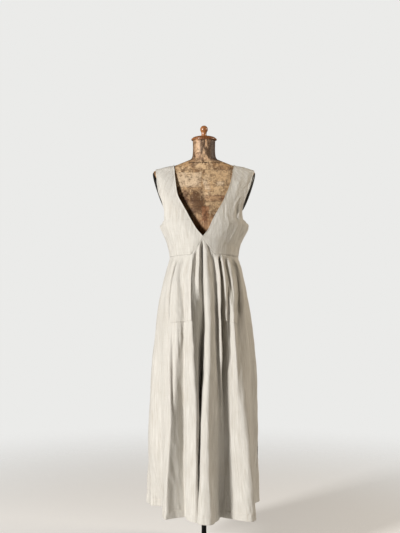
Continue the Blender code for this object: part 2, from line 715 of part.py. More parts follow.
def add_stand():
    half = PLATE_THICKNESS / 2
    profile = [(PLATE_RADIUS - half, 0)]
    profile += arc(PLATE_RADIUS - half, half, half, -60, 60, 4)
    profile += [
        (PLATE_RADIUS - half * 2, PLATE_THICKNESS),
        (COLLAR_RADIUS + 0.010, PLATE_THICKNESS + 0.003),
        (COLLAR_RADIUS, PLATE_THICKNESS + 0.009),
        (COLLAR_RADIUS, COLLAR_HEIGHT - 0.002),
        (COLLAR_RADIUS - 0.002, COLLAR_HEIGHT),
    ]
    add_turned("stand_base", profile, PLATE_SIDES, BLACK_STEEL)
    top = FORM_BOTTOM_HEIGHT - 2 * SEAM_GAP - BOARD_THICKNESS
    flange = top - FLANGE_THICKNESS
    profile = [
        (POLE_RADIUS, COLLAR_HEIGHT + SEAM_GAP),
        (POLE_RADIUS, flange - 0.020),
        (POLE_RADIUS + 0.004, flange - 0.018),
        (POLE_RADIUS + 0.004, flange - 0.002),
        (FLANGE_RADIUS, flange),
        (FLANGE_RADIUS, top),
    ]
    add_turned("stand_pole", profile, POLE_SIDES, BLACK_STEEL)


clear_scene()
waist_seam = waist_corners()
add_skirt(waist_seam)
add_bodice(add_form(), waist_seam)
add_neck_cap()
add_stand()
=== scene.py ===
# The looks of a linen pinafore dress on a limbless dress form: cloth, sewing, aged paper, wood and paint
import math
from collections import namedtuple

import bpy
import numpy as np
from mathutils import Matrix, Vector, noise
from mathutils.bvhtree import BVHTree


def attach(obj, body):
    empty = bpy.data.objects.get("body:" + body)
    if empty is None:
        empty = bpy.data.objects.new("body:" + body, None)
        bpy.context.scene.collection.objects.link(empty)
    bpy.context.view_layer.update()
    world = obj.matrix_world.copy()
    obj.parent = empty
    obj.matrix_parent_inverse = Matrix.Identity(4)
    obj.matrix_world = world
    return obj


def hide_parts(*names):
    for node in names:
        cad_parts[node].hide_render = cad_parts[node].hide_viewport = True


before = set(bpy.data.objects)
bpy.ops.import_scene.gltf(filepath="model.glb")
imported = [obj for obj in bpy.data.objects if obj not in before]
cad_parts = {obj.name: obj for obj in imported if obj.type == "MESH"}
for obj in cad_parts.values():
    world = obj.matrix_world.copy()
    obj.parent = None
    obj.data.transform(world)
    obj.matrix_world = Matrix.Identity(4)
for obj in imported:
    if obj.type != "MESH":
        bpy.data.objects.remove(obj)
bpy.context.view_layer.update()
tau = 2 * math.pi


# Camera, light and floor

studio = {
    "cameraPlace": (-0.0154, -3.5, 1.10),
    "cameraLens": 61.46,
    "sensor": 36,  # along the picture's height
    "backdrop": (0.83, 0.83, 0.815),
    "fill": (0.064, 0.050, 0.033),
    "keyPlace": (-2.80, -2.70, 1.75),
    "keyAim": (0.0, 0.0, 0.85),
    "keySize": (0.55, 0.9),
    "keyPower": 215,
    "keyColour": (1.0, 0.985, 0.965),
    "sidePlace": (2.4, 0.0, 2.35),
    "sideAim": (0.0, 0.0, 1.35),
    "sideSize": (1.1, 1.1),
    "sidePower": 50,
    "sideColour": (1.0, 0.89, 0.74),
    "floorRadius": 3.2,
    "floorSides": 96,
    "floorFade": 0.75,
    "floorColour": (0.60, 0.585, 0.56),
    "floorGrain": (0.70, 0.70, 0.69),
    "floorGlow": (0.30, 0.295, 0.29),
}


def aim(item, place, target):
    item.location = place
    item.rotation_mode = "QUATERNION"
    item.rotation_quaternion = (Vector(target) - Vector(place)).to_track_quat("-Z", "Y")


def addCamera():
    bpy.context.scene.view_settings.view_transform = "Standard"
    camera = bpy.data.objects.new("camera", bpy.data.cameras.new("camera"))
    bpy.context.scene.collection.objects.link(camera)
    camera.data.sensor_width = studio["sensor"]
    camera.data.lens = studio["cameraLens"]
    place = studio["cameraPlace"]
    aim(camera, place, (place[0], 0, place[2]))
    bpy.context.scene.camera = camera


def addLight(name):
    # A soft panel, set up by the studio's entries of this name
    light = bpy.data.lights.new(name, "AREA")
    light.shape = "RECTANGLE"
    light.size, light.size_y = studio[f"{name}Size"]
    light.energy = studio[f"{name}Power"]
    light.color = studio[f"{name}Colour"]
    item = bpy.data.objects.new(name, light)
    bpy.context.scene.collection.objects.link(item)
    aim(item, studio[f"{name}Place"], studio[f"{name}Aim"])


def addWorld():
    # The backdrop is bright to look at, and the air fills the shadows more dimly
    world = bpy.data.worlds.new("studio")
    bpy.context.scene.world = world
    world.use_nodes = True
    tree = world.node_tree
    tree.nodes.clear()
    path = tree.nodes.new("ShaderNodeLightPath")
    fill = tree.nodes.new("ShaderNodeBackground")
    fill.inputs["Color"].default_value = (*studio["fill"], 1)
    seen = tree.nodes.new("ShaderNodeBackground")
    seen.inputs["Color"].default_value = (*studio["backdrop"], 1)
    mixed = tree.nodes.new("ShaderNodeMixShader")
    output = tree.nodes.new("ShaderNodeOutputWorld")
    tree.links.new(path.outputs["Is Camera Ray"], mixed.inputs[0])
    tree.links.new(fill.outputs[0], mixed.inputs[1])
    tree.links.new(seen.outputs[0], mixed.inputs[2])
    tree.links.new(mixed.outputs[0], output.inputs["Surface"])


# Shader maths

class Wire:
    # A socket to reckon with: sums on it add the nodes that work them out
    def __init__(self, finish, socket):
        self.finish = finish
        self.socket = socket

    def __add__(self, other):
        return self.finish.maths("ADD", self, other)

    def __radd__(self, other):
        return self.finish.maths("ADD", other, self)

    def __sub__(self, other):
        return self.finish.maths("SUBTRACT", self, other)

    def __rsub__(self, other):
        return self.finish.maths("SUBTRACT", other, self)

    def __mul__(self, other):
        return self.finish.maths("MULTIPLY", self, other)

    def __rmul__(self, other):
        return self.finish.maths("MULTIPLY", other, self)

    def __truediv__(self, other):
        return self.finish.maths("DIVIDE", self, other)

    def __pow__(self, other):
        return self.finish.maths("POWER", self, other)


class Finish:
    # A material whose nodes are added by expressions
    def __init__(self, name, **uniform):
        self.material = bpy.data.materials.new(name)
        self.material.use_nodes = True
        self.tree = self.material.node_tree
        self.shader = self.tree.nodes["Principled BSDF"]
        for socket, value in uniform.items():
            self.shader.inputs[socket.replace("_", " ")].default_value = value

    def node(self, kind, settings=(), inputs=(), output=0):
        made = self.tree.nodes.new(kind)
        for key, value in dict(settings).items():
            setattr(made, key, value)
        for key, value in dict(inputs).items():
            self.feed(made.inputs[key], value)
        return Wire(self, made.outputs[output])

    def feed(self, socket, value):
        if isinstance(value, Wire):
            self.tree.links.new(value.socket, socket)
        elif isinstance(value, tuple) and len(value) == 3 and socket.type == "RGBA":
            socket.default_value = (*value, 1)
        else:
            socket.default_value = value

    def maths(self, operation, first, second=0.0):
        return self.node("ShaderNodeMath", {"operation": operation}, {0: first, 1: second})

    def mix(self, share, first, second):
        return self.node("ShaderNodeMix", {"data_type": "RGBA"}, {0: share, 6: first, 7: second}, 2)

    def rise(self, value, low, high):
        # 0 below low, 1 above high and smooth between, also with high below low
        settings = {"interpolation_type": "SMOOTHSTEP"}
        swapped = low > high
        ends = {1: min(low, high), 2: max(low, high), 3: float(swapped), 4: float(not swapped)}
        return self.node("ShaderNodeMapRange", settings, {0: value, **ends})

    def band(self, value, middle, half, soft):
        # 1 within half of the middle, fading over the soft width at both ends
        return self.rise(self.maths("ABSOLUTE", value - middle), half + soft, half)

    def noise(self, place, scale, detail=3.0, roughness=0.55, distortion=0.0):
        inputs = {"Vector": place, "Scale": scale, "Detail": detail}
        inputs |= {"Roughness": roughness, "Distortion": distortion}
        return self.node("ShaderNodeTexNoise", {}, inputs)

    def stretched(self, place, scale, shift=(0.0, 0.0, 0.0)):
        return self.node("ShaderNodeMapping", {}, {0: place, 1: shift, 3: scale})

    def parts(self, place):
        split = self.tree.nodes.new("ShaderNodeSeparateXYZ")
        self.feed(split.inputs[0], place)
        return [Wire(self, socket) for socket in split.outputs]

    def here(self):
        return self.node("ShaderNodeTexCoord", output=3)

    def onCloth(self):
        return self.node("ShaderNodeUVMap", {"uv_map": "cloth"})

    def bump(self, height, distance, strength=1.0, under=None):
        inputs = {"Strength": strength, "Distance": distance, "Height": height}
        if under:
            inputs["Normal"] = under
        return self.node("ShaderNodeBump", {}, inputs)

    def surface(self, **wires):
        for socket, value in wires.items():
            self.feed(self.shader.inputs[socket.replace("_", " ")], value)
        return self.material


# Linen

linen = {
    "colour": (0.560, 0.541, 0.498),
    "slubColour": (0.400, 0.352, 0.285),
    "paleColour": (0.735, 0.714, 0.668),
    "paleShare": 0.50,
    "dullShare": 0.40,
    "slubShare": 0.40,
    "weaveShare": 0.20,
    "patchShare": 0.14,
    "threadPitch": 0.00072,
    "threadWander": 0.0016,
    "weaveHeight": 0.00016,
    "slubHeight": 0.00022,
    "crumpleHeight": 0.0022,
    "roughness": 0.88,
    "sheen": 0.18,
}


def linenFinish(name):
    # Threads run along the cloth's own length and width, which its UV map holds in metres
    finish = Finish(name, Sheen_Weight=linen["sheen"], Sheen_Roughness=0.45, IOR=1.42)
    place = finish.onCloth()
    wander = finish.noise(place, 55.0, 2.0) - 0.5
    u, v, _ = finish.parts(place)
    pitch = tau / linen["threadPitch"]
    acrossThread = finish.maths("SINE", (u + wander * linen["threadWander"]) * pitch)
    alongThread = finish.maths("SINE", (v + wander * linen["threadWander"]) * pitch)
    weave = acrossThread * alongThread
    longSlubs = finish.noise(finish.stretched(place, (620.0, 9.0, 1.0)), 1.0, 2.0, 0.6)
    crossSlubs = finish.noise(finish.stretched(place, (8.0, 560.0, 1.0), (3.1, 7.7, 0.0)), 1.0, 2.0, 0.6)
    broadStreaks = finish.noise(finish.stretched(place, (230.0, 11.0, 1.0), (5.3, 1.9, 0.0)), 1.0, 4.0, 0.65)
    slubs = finish.rise(longSlubs, 0.56, 0.74) + finish.rise(crossSlubs, 0.58, 0.76)
    pale = finish.rise(broadStreaks, 0.50, 0.66)
    dull = finish.rise(broadStreaks, 0.48, 0.34)
    patches = finish.noise(place, 7.0, 3.0, 0.5)
    colour = finish.mix(pale * linen["paleShare"], linen["colour"], linen["paleColour"])
    colour = finish.mix(dull * linen["dullShare"], colour, linen["slubColour"])
    colour = finish.mix(slubs * linen["slubShare"], colour, linen["slubColour"])
    colour = finish.mix(finish.rise(weave, 0.2, -0.9) * linen["weaveShare"], colour, linen["slubColour"])
    colour = finish.mix(finish.rise(patches, 0.45, 0.75) * linen["patchShare"], colour, linen["slubColour"])
    crumple = finish.noise(finish.stretched(place, (85.0, 32.0, 1.0)), 1.0, 4.0, 0.6, 0.8)
    soft = finish.bump(crumple, linen["crumpleHeight"], 0.6)
    ribbed = finish.bump(slubs + broadStreaks * 1.5, linen["slubHeight"], 0.9, soft)
    woven = finish.bump(weave, linen["weaveHeight"], 0.8, ribbed)
    roughness = linen["roughness"] + (slubs - 0.5) * 0.06
    return finish.surface(Base_Color=colour, Roughness=roughness, Normal=woven)


# Curves and grids of cloth

class Curve:
    # A smooth curve through the values that never swings past them
    def __init__(self, places, values):
        self.places = np.array(places, float)
        self.values = np.array(values, float).reshape(len(self.places), -1)
        rises = np.diff(self.values, axis=0) / np.diff(self.places)[:, None]
        before, after = rises[:-1], rises[1:]
        level = before * after <= 0
        inner = np.where(level, 0, 2 * before * after / np.where(level, 1, before + after))
        self.slopes = np.concatenate((rises[:1], inner, rises[-1:]))

    def __call__(self, at):
        at = np.clip(np.asarray(at, float), self.places[0], self.places[-1])
        i = np.clip(np.searchsorted(self.places, at) - 1, 0, len(self.places) - 2)
        width = (self.places[i + 1] - self.places[i])[..., None]
        t = (at - self.places[i])[..., None] / width
        start = self.values[i] * (1 + 2 * t) * (1 - t) ** 2 + self.values[i + 1] * t * t * (3 - 2 * t)
        made = start + width * (self.slopes[i] * t * (1 - t) ** 2 - self.slopes[i + 1] * t * t * (1 - t))
        return made[..., 0] if made.shape[-1] == 1 else made


def gridNormals(points, outward=1):
    normals = np.cross(np.gradient(points, axis=1), np.gradient(points, axis=0)) * outward
    return normals / np.maximum(np.linalg.norm(normals, axis=2, keepdims=True), 1e-12)


class Cloth:
    # A grid of cloth points, columns first, with each point's place on the flat cloth in metres
    def __init__(self, points, across, down, outward=1):
        self.points = points
        self.across = across
        self.down = down
        self.outward = outward
        self.normals = gridNormals(points, outward)
        self.lift = np.zeros(points.shape[:2])
        widths = np.linalg.norm(np.diff(points, axis=0), axis=2)
        lengths = np.linalg.norm(np.diff(points, axis=1), axis=2)
        self.u = np.concatenate((np.zeros((1, points.shape[1])), np.cumsum(widths, axis=0)))
        self.v = np.concatenate((np.zeros((points.shape[0], 1)), np.cumsum(lengths, axis=1)), axis=1)
        self.fromStart = self.u.copy()
        self.fromEnd = self.u[-1] - self.u
        self.fromTop = self.v.copy()
        self.fromFoot = self.v[:, -1:] - self.v
        self.u -= self.u[-1] / 2
        self.weave = (np.repeat(self.u.mean(axis=1)[:, None], points.shape[1], axis=1), self.v)

    def crease(self, row):
        # A soft trough, or a ridge where its rise is above 0, fading at both ends. It runs from a
        # place across and down the piece to another, each in the piece's own steps.
        t = np.clip((self.down - row.startDown) / (row.endDown - row.startDown), 0, 1)
        line = row.startAcross + (row.endAcross - row.startAcross) * t
        rails = [np.interp(line[:, k], self.across, self.u[:, k]) for k in range(line.shape[1])]
        aside = self.u - np.stack(rails, axis=-1)
        inside = (t > 0) & (t < 1)
        drop = np.ptp(self.v[inside])
        pitch = np.gradient(self.u, self.across, axis=0)[inside].mean()
        straight = drop / math.hypot(drop, abs(row.endAcross - row.startAcross) * pitch)
        aside = (aside * straight - row.bow / 1000 * 4 * t * (1 - t)) * 1000 / row.width
        fade = np.sin(math.pi * t) ** 0.7
        self.lift += row.rise / 1000 * np.exp(-(aside**2)) * fade

    def lumps(self, row, seed):
        # Gentle unevenness, or fine slanting crumples with sharper ridges
        for i in range(self.lift.shape[0]):
            for j in range(self.lift.shape[1]):
                across = self.u[i, j] + row.slant * self.v[i, j]
                value = noise.noise((across / row.across, self.v[i, j] / row.down, seed))
                self.lift[i, j] += (0.3 - abs(value) * 1.6 if row.creased else value) * row.rise

    def welt(self, distance, inset, width, rise):
        # A line of this width, raised or sunk, that runs at the inset from an edge
        self.lift += rise * np.exp(-(((distance - inset) / width) ** 2))

    def thicker(self, distance, inset, soft, rise):
        # The doubled cloth of a turned edge, out to the inset from that edge
        self.lift += rise / (1 + np.exp((distance - inset) / soft))

    def pucker(self, distance, inset, reach, rise, seed):
        # Short gathers square to a sewn line that runs at the inset from an edge
        near = np.exp(-(((distance - inset) / reach) ** 2))
        for i, j in zip(*np.nonzero(near > 0.02)):
            value = noise.noise((self.u[i, j] / 0.012, self.v[i, j] / 0.06, seed))
            self.lift[i, j] += value * near[i, j] * rise

    def laid(self):
        return self.points + self.normals * self.lift[..., None]

    def line(self, distance, inset, alongRows, height):
        # Points on the cloth's face at this inset from an edge, for a row of stitches
        points = self.laid()
        facing = gridNormals(points, self.outward)
        made = []
        grids = range(points.shape[1]) if alongRows else range(points.shape[0])
        for k in grids:
            pick = (slice(None), k) if alongRows else (k, slice(None))
            gaps = distance[pick]
            order = np.argsort(gaps)
            rail = points[pick] + facing[pick] * height
            made.append([np.interp(inset, gaps[order], rail[order, axis]) for axis in range(3)])
        return np.array(made)


def linkObject(name, mesh, material, smooth=True):
    mesh.materials.append(material)
    if smooth:
        mesh.shade_smooth()
    item = bpy.data.objects.new(name, mesh)
    bpy.context.scene.collection.objects.link(item)
    return item


def gridFaces(columns, rows):
    # Quads of a grid whose outside faces the viewer, and the walk round its border
    ids = np.arange(columns * rows).reshape(columns, rows)
    quads = np.stack((ids[:-1, :-1], ids[:-1, 1:], ids[1:, 1:], ids[1:, :-1]), axis=-1).reshape(-1, 4)
    border = np.concatenate((ids[0, :-1], ids[:-1, -1], ids[-1, :0:-1], ids[:0:-1, 0]))
    return quads, border


def clothWall(name, cloth, thickness, material):
    # A thin closed wall about the cloth's points, with the flat cloth as its UV map
    middle = cloth.laid()
    facing = gridNormals(middle, cloth.outward)
    columns, rows = middle.shape[:2]
    quads, border = gridFaces(columns, rows)
    count = columns * rows
    after = np.roll(border, -1)
    rim = np.stack((after, border, border + count, after + count), axis=-1)
    faces = np.concatenate((quads, quads[:, ::-1] + count, rim))
    if cloth.outward < 0:
        faces = faces[:, ::-1]
    vertices = np.concatenate((middle + facing * thickness / 2, middle - facing * thickness / 2))
    flat = np.stack(cloth.weave, axis=-1).reshape(-1, 2)
    mesh = bpy.data.meshes.new(name)
    mesh.from_pydata(vertices.reshape(-1, 3).tolist(), [], faces.tolist())
    layer = mesh.uv_layers.new(name="cloth")
    layer.data.foreach_set("uv", np.concatenate((flat, flat))[faces.ravel()].ravel())
    mesh.validate()
    return linkObject(name, mesh, material)


def dress(piece, node):
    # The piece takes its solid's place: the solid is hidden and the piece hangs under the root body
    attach(piece, "root")
    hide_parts(node)


# Waist seam

waist = {
    "sideHeight": 1.137,
    "frontHeight": 1.147,
    "peakHeight": 1.205,
    "peakHalfWidth": 0.046,
    "peakSharpness": 1.2,
    "frontCentre": -0.0045,
    "seamGap": 0.0003,
    "tuck": 0.0003,
    "tuckWidth": 0.0018,
}

# The bell that the skirt hangs in, before its folds: height, half width, front and back depth
bell = (
    (0.180, 0.222, 0.205, 0.214),
    (0.330, 0.216, 0.203, 0.209),
    (0.500, 0.209, 0.200, 0.203),
    (0.700, 0.200, 0.196, 0.193),
    (0.800, 0.191, 0.190, 0.184),
    (0.885, 0.181, 0.182, 0.173),
    (0.965, 0.170, 0.174, 0.160),
    (1.040, 0.155, 0.162, 0.143),
    (1.090, 0.143, 0.150, 0.126),
    (1.137, 0.1315, 0.138, 0.108),
    (1.212, 0.1420, 0.1485, 0.110),
)
bellCurve = Curve([row[0] for row in bell], [row[1:] for row in bell])


def bellPoints(turn, out, height):
    halfWidth, front, back = np.moveaxis(bellCurve(height), -1, 0)
    depth = np.where(np.cos(turn) >= 0, front, back)
    x = (halfWidth + out) * np.sin(turn)
    y = -(depth + out) * np.cos(turn)
    return np.stack((x, y, height + np.zeros_like(x)), axis=-1)


def waistHeight(turn):
    # Level behind, a little lower at the sides than in front, with a peak at the middle
    side = np.sin(turn)
    level = waist["frontHeight"] + (waist["sideHeight"] - waist["frontHeight"]) * side**2
    gap = np.abs(bellCurve(level)[..., 0] * side - waist["frontCentre"])
    reach = np.maximum(0, 1 - gap / waist["peakHalfWidth"]) ** waist["peakSharpness"]
    level = level + (waist["peakHeight"] - waist["frontHeight"]) * reach
    return np.where(np.cos(turn) <= 1e-9, waist["sideHeight"], level)


# Skirt

skirt = {
    "hemHeight": 0.180,
    "gatherDepth": 0.030,
    "thickness": 0.0010,
    "stepsPerFold": 14,
    "backStepsPerFold": 17,
    "wander": 0.45,  # degrees that a fold strays from its line
    "seamWidth": 0.003,
    "seamTuck": 0.0010,
    "hemTurnUp": 0.026,
    "hemRise": 0.0005,
    "hemSoftness": 0.0012,
    "grooveInset": 0.001,
    "grooveWidth": 0.0022,
    "grooveDepth": 0.0006,
    "puckerReach": 0.016,
    "puckerRise": 0.0022,
}
skirtRows = np.concatenate(
    (
        np.linspace(0, 0.010, 6),
        np.linspace(0.010, 0.050, 9)[1:],
        np.linspace(0.050, 0.955, 88)[1:],
        np.linspace(0.955, 0.998, 18)[1:],
        [1.0],
    )
)

# Each ridge and valley is a line from the waist to the hem. Its place round the body is in degrees
# from the front's middle and its reach outside the bell in millimetres, both at four heights.
foldHeights = (0.180, 0.500, 0.885, 1.060)
Fold = namedtuple("Fold", "name turnWaist turnHip turnKnee turnHem outWaist outHip outKnee outHem")
frontFolds = (
    Fold("left side seam", -90, -90, -90, -90, 0, 0, 3, -16),
    Fold("left side swell", -80, -78, -74, -87, 1, 3, 2, -54),
    Fold("left side valley", -69, -63, -55, -72, -2, -3, -14, -76),
    Fold("left pocket ridge", -60, -50, -42, -40, 4, 5, 6, 12),
    Fold("left pocket mouth", -51, -44, -33.5, -34.5, -5, 1, 19, 30),
    Fold("pocket pleat", -43, -34.5, -30.5, -29.5, 4, 1, -5, -6),
    Fold("left front valley", -34, -26, -26, -21.5, -7, -17, -38, -34),
    Fold("left front flank", -26, -20, -17.5, -17.5, -1, -1, 0, -8),
    Fold("left front ridge", -18, -14, -7.6, -7.7, 5, 9, 13, 32),
    Fold("pleat edge", -13.5, -9.9, -5.6, -5.6, -7, -6, -2, 30),
    Fold("pleat wall", -7.7, -5.5, -9.2, -12, 4, -42, -70, -72),
    Fold("centre pleat", -3.4, -0.8, -8.3, -11, -20, -62, -98, -100),
    Fold("centre lip", -0.4, 1.7, -1.9, -4.0, 2, 3, 12, 50),
    Fold("centre ridge", 4, 6, 3, 4, 8, 14, 22, 63),
    Fold("centre shoulder", 8.8, 10.5, 7, 10.1, 3, 3, 11, 22),
    Fold("centre valley", 17, 16.5, 15, 14.3, -10, -17, -16, -2),
    Fold("inner ridge", 22.3, 19.8, 20.5, 18.4, 4, 2, -27, -32),
    Fold("deep pleat", 26, 23.8, 26.5, 22.5, -24, -48, -40, -16),
    Fold("outer ridge", 30, 28.6, 31, 26.7, 4, -7, -32, 5),
    Fold("outer flank", 37, 32.4, 32, 30.2, -6, -11, -9, 34),
    Fold("right pocket ridge", 43.5, 36, 34.5, 35.9, 5, 9, 18, 70),
    Fold("right pocket mouth", 54, 43, 39.5, 39.6, -8, -3, 37, 68),
    Fold("right side edge", 63, 53, 52, 52, 4, 5, 8, 17),
    Fold("right side valley", 71, 63, 68, 68, -2, -3, -15, -25),
    Fold("right side swell", 80, 77, 80, 82, 2, 4, -2, -32),
    Fold("right side seam", 90, 90, 90, 90, 0, -2, -3, -30),
)
backFolds = (
    Fold("right side seam", 90, 90, 90, 90, 0, -2, -3, -30),
    Fold("right back valley", 101, 101, 100, 101, -2, -4, -6, -20),
    Fold("right back ridge", 113, 112, 111, 111.5, 3, 6, 10, 12),
    Fold("second valley", 124, 124, 125, 125, -5, -8, -20, -36),
    Fold("second ridge", 135, 137, 139, 140, 4, 8, 15, 28),
    Fold("third valley", 147, 149, 150, 152, -6, -10, -22, -38),
    Fold("third ridge", 158, 159, 161, 163, 4, 9, 17, 26),
    Fold("fourth valley", 168, 168, 170, 173, -7, -12, -25, -43),
    Fold("centre back ridge", 179, 180, 181, 184, 5, 10, 20, 32),
    Fold("fifth valley", 190, 191, 193, 196, -7, -12, -23, -39),
    Fold("fifth ridge", 202, 203, 204, 205, 4, 8, 15, 29),
    Fold("sixth valley", 213, 213, 215, 216, -5, -9, -19, -32),
    Fold("sixth ridge", 224, 226, 228, 227, 4, 7, 13, 24),
    Fold("seventh valley", 236, 237, 239, 240, -5, -8, -15, -32),
    Fold("seventh ridge", 248, 249, 250, 252, 3, 5, 8, 15),
    Fold("left back valley", 259, 260, 260, 261, -1, -2, 2, -9),
    Fold("left side seam", 270, 270, 270, 270, 0, 0, 3, -16),
)

# Creases, listed one by one: from a place to a place, each counted in fold lines from the panel's first
# one and in metres above the floor, then width, rise and bow in millimetres
Crease = namedtuple("Crease", "startAcross startDown endAcross endDown width rise bow")
skirtFrontCreases = (
    Crease(3.86, 1.132, 3.86, 0.905, 3.4, -11.0, 0),
    Crease(3.55, 1.130, 3.55, 0.900, 5, 3.0, 0),
    Crease(18.3, 1.125, 19.9, 0.920, 3.6, 5.0, -3),
    Crease(19.2, 1.110, 20.3, 0.930, 4, -4.0, -2),
    Crease(21.25, 1.070, 21.35, 0.915, 5, -7.0, 0),
    Crease(22.2, 1.090, 22.4, 0.760, 13, 4.0, 0),
    Crease(4.40, 0.902, 4.6, 0.560, 7, -9.0, 0),
    Crease(5.15, 0.890, 5.3, 0.750, 4, 4.0, 0),
    Crease(4.9, 0.905, 4.8, 0.840, 4, -3.0, 0),
    Crease(5.45, 0.900, 5.55, 0.790, 5, 4.0, 0),
    Crease(7.0, 1.080, 7.1, 0.920, 6, 3.0, 3),
    Crease(4.1, 0.888, 7.9, 0.899, 3.2, -2.6, 0),
    Crease(17.8, 0.896, 20.9, 0.886, 3.2, -2.2, 0),
    Crease(4.7, 1.130, 4.9, 1.040, 6, 2.4, -2),
    Crease(5.4, 1.120, 5.6, 0.975, 7, -2.6, 4),
    Crease(6.4, 1.060, 6.1, 0.905, 9, -2.6, -5),
    Crease(6.9, 1.015, 6.6, 0.930, 6, 2.4, 3),
    Crease(15.3, 1.135, 15.6, 1.070, 5, 2.0, 2),
    Crease(16.2, 1.135, 16.4, 1.080, 4, -1.8, -2),
    Crease(18.4, 1.135, 18.9, 1.060, 5, -2.2, 3),
    Crease(19.5, 1.132, 19.8, 1.020, 5, 2.2, -3),
    Crease(20.6, 1.130, 20.5, 1.050, 5, -2.2, 2),
    Crease(21.6, 1.128, 21.9, 1.065, 5, 1.8, 2),
    Crease(2.2, 1.110, 2.6, 0.930, 9, 2.0, 5),
    Crease(3.4, 0.820, 2.9, 0.560, 11, -2.2, 6),
    Crease(4.4, 0.700, 4.2, 0.470, 9, 1.9, -6),
    Crease(5.5, 0.640, 5.8, 0.330, 10, -2.0, 5),
    Crease(7.4, 0.780, 7.3, 0.520, 9, 1.8, -4),
    Crease(8.4, 0.560, 8.6, 0.280, 8, -1.8, 4),
    Crease(13.6, 0.930, 13.8, 0.660, 8, -1.8, -4),
    Crease(14.6, 0.720, 14.4, 0.400, 10, 2.0, 5),
    Crease(15.6, 0.520, 15.9, 0.230, 10, -2.2, -4),
    Crease(18.3, 0.760, 18.5, 0.430, 9, 1.8, 5),
    Crease(20.5, 0.860, 20.9, 0.600, 9, -2.0, -6),
    Crease(21.3, 0.660, 21.1, 0.430, 7, 2.0, 4),
    Crease(21.7, 0.560, 21.9, 0.300, 8, -2.0, 5),
    Crease(22.6, 0.900, 22.8, 0.640, 12, 2.0, -6),
    Crease(23.4, 0.520, 23.2, 0.250, 12, -2.0, 5),
    Crease(1.2, 0.760, 1.0, 0.420, 12, 2.0, 6),
    Crease(1.8, 0.450, 1.6, 0.210, 10, -2.0, -4),
)
skirtBackCreases = (
    Crease(1.3, 1.125, 1.5, 0.980, 6, 2.2, 3),
    Crease(2.6, 1.130, 2.4, 1.040, 5, -2.4, -2),
    Crease(3.5, 1.130, 3.7, 1.010, 6, 2.0, 3),
    Crease(4.6, 1.130, 4.4, 1.060, 5, -2.2, 2),
    Crease(5.5, 1.128, 5.7, 0.960, 6, -2.4, -4),
    Crease(7.4, 1.130, 7.6, 1.050, 5, 2.0, 3),
    Crease(8.5, 1.130, 8.4, 1.000, 6, -2.2, 3),
    Crease(9.7, 1.130, 9.5, 1.060, 5, 2.0, -2),
    Crease(11.4, 1.130, 11.6, 0.990, 6, -2.4, 4),
    Crease(12.6, 1.130, 12.5, 1.050, 5, 2.0, 2),
    Crease(14.3, 1.125, 14.1, 1.000, 7, -2.2, -4),
    Crease(2.2, 0.800, 2.4, 0.520, 10, -2.0, 5),
    Crease(4.3, 0.720, 4.1, 0.380, 9, 2.0, -6),
    Crease(6.4, 0.660, 6.6, 0.350, 10, -2.2, 5),
    Crease(8.3, 0.800, 8.2, 0.500, 9, 1.8, -4),
    Crease(10.4, 0.560, 10.2, 0.260, 10, -2.0, 5),
    Crease(12.2, 0.760, 12.5, 0.430, 10, 2.0, 6),
    Crease(14.5, 0.620, 14.2, 0.300, 11, -2.0, -5),
)
# Unevenness: its size across and down and its rise in metres, its seed, slant and kind
Lumps = namedtuple("Lumps", "across down rise seed slant creased")
skirtLumps = (
    Lumps(0.060, 0.240, 0.0030, 0, 0.0, False),
    Lumps(0.030, 0.110, 0.0018, 2, 0.10, True),
    Lumps(0.019, 0.060, 0.0010, 4, -0.22, True),
)


def skirtCloth(folds, stepsPerFold, seed):
    across = np.linspace(0, len(folds) - 1, (len(folds) - 1) * stepsPerFold + 1)
    values = Curve(range(len(folds)), [fold[1:] for fold in folds])(across)
    start = np.radians(values[:, 0])
    top = waistHeight(start) - waist["seamGap"] / 2
    heights = top[:, None] + (skirt["hemHeight"] - top[:, None]) * skirtRows
    onset = np.clip((top[:, None] - heights) / skirt["gatherDepth"], 0, 1)
    onset = onset * onset * (3 - 2 * onset)
    turns = np.empty_like(heights)
    outs = np.empty_like(heights)
    for i, row in enumerate(values):
        turns[i] = Curve(foldHeights, row[3::-1])(heights[i])
        outs[i] = Curve(foldHeights, row[:3:-1])(heights[i])
    edge = np.minimum(across, across[-1] - across)
    calm = np.clip(edge, 0, 1)[:, None] * onset
    for i in range(len(across)):
        for j in range(heights.shape[1]):
            stray = noise.noise((across[i] * 0.6, heights[i, j] * 5.5, seed))
            turns[i, j] += skirt["wander"] * stray * calm[i, j]
    turns[:, 0] = values[:, 0]
    points = bellPoints(np.radians(turns), outs * onset / 1000, heights)
    return Cloth(points, across, heights)


def sewSkirtEdges(cloth, seed):
    # Tucked in at the waist and side seams, with the hem turned up, sewn and a little puckered
    cloth.welt(cloth.fromTop, 0, waist["tuckWidth"], -waist["tuck"])
    for side in (cloth.fromStart, cloth.fromEnd):
        cloth.welt(side, 0, skirt["seamWidth"], -skirt["seamTuck"])
    turnUp = skirt["hemTurnUp"]
    cloth.thicker(cloth.fromFoot, turnUp, skirt["hemSoftness"], skirt["hemRise"])
    cloth.welt(cloth.fromFoot, turnUp + skirt["grooveInset"], skirt["grooveWidth"], -skirt["grooveDepth"])
    cloth.pucker(cloth.fromFoot, turnUp, skirt["puckerReach"], skirt["puckerRise"], seed)


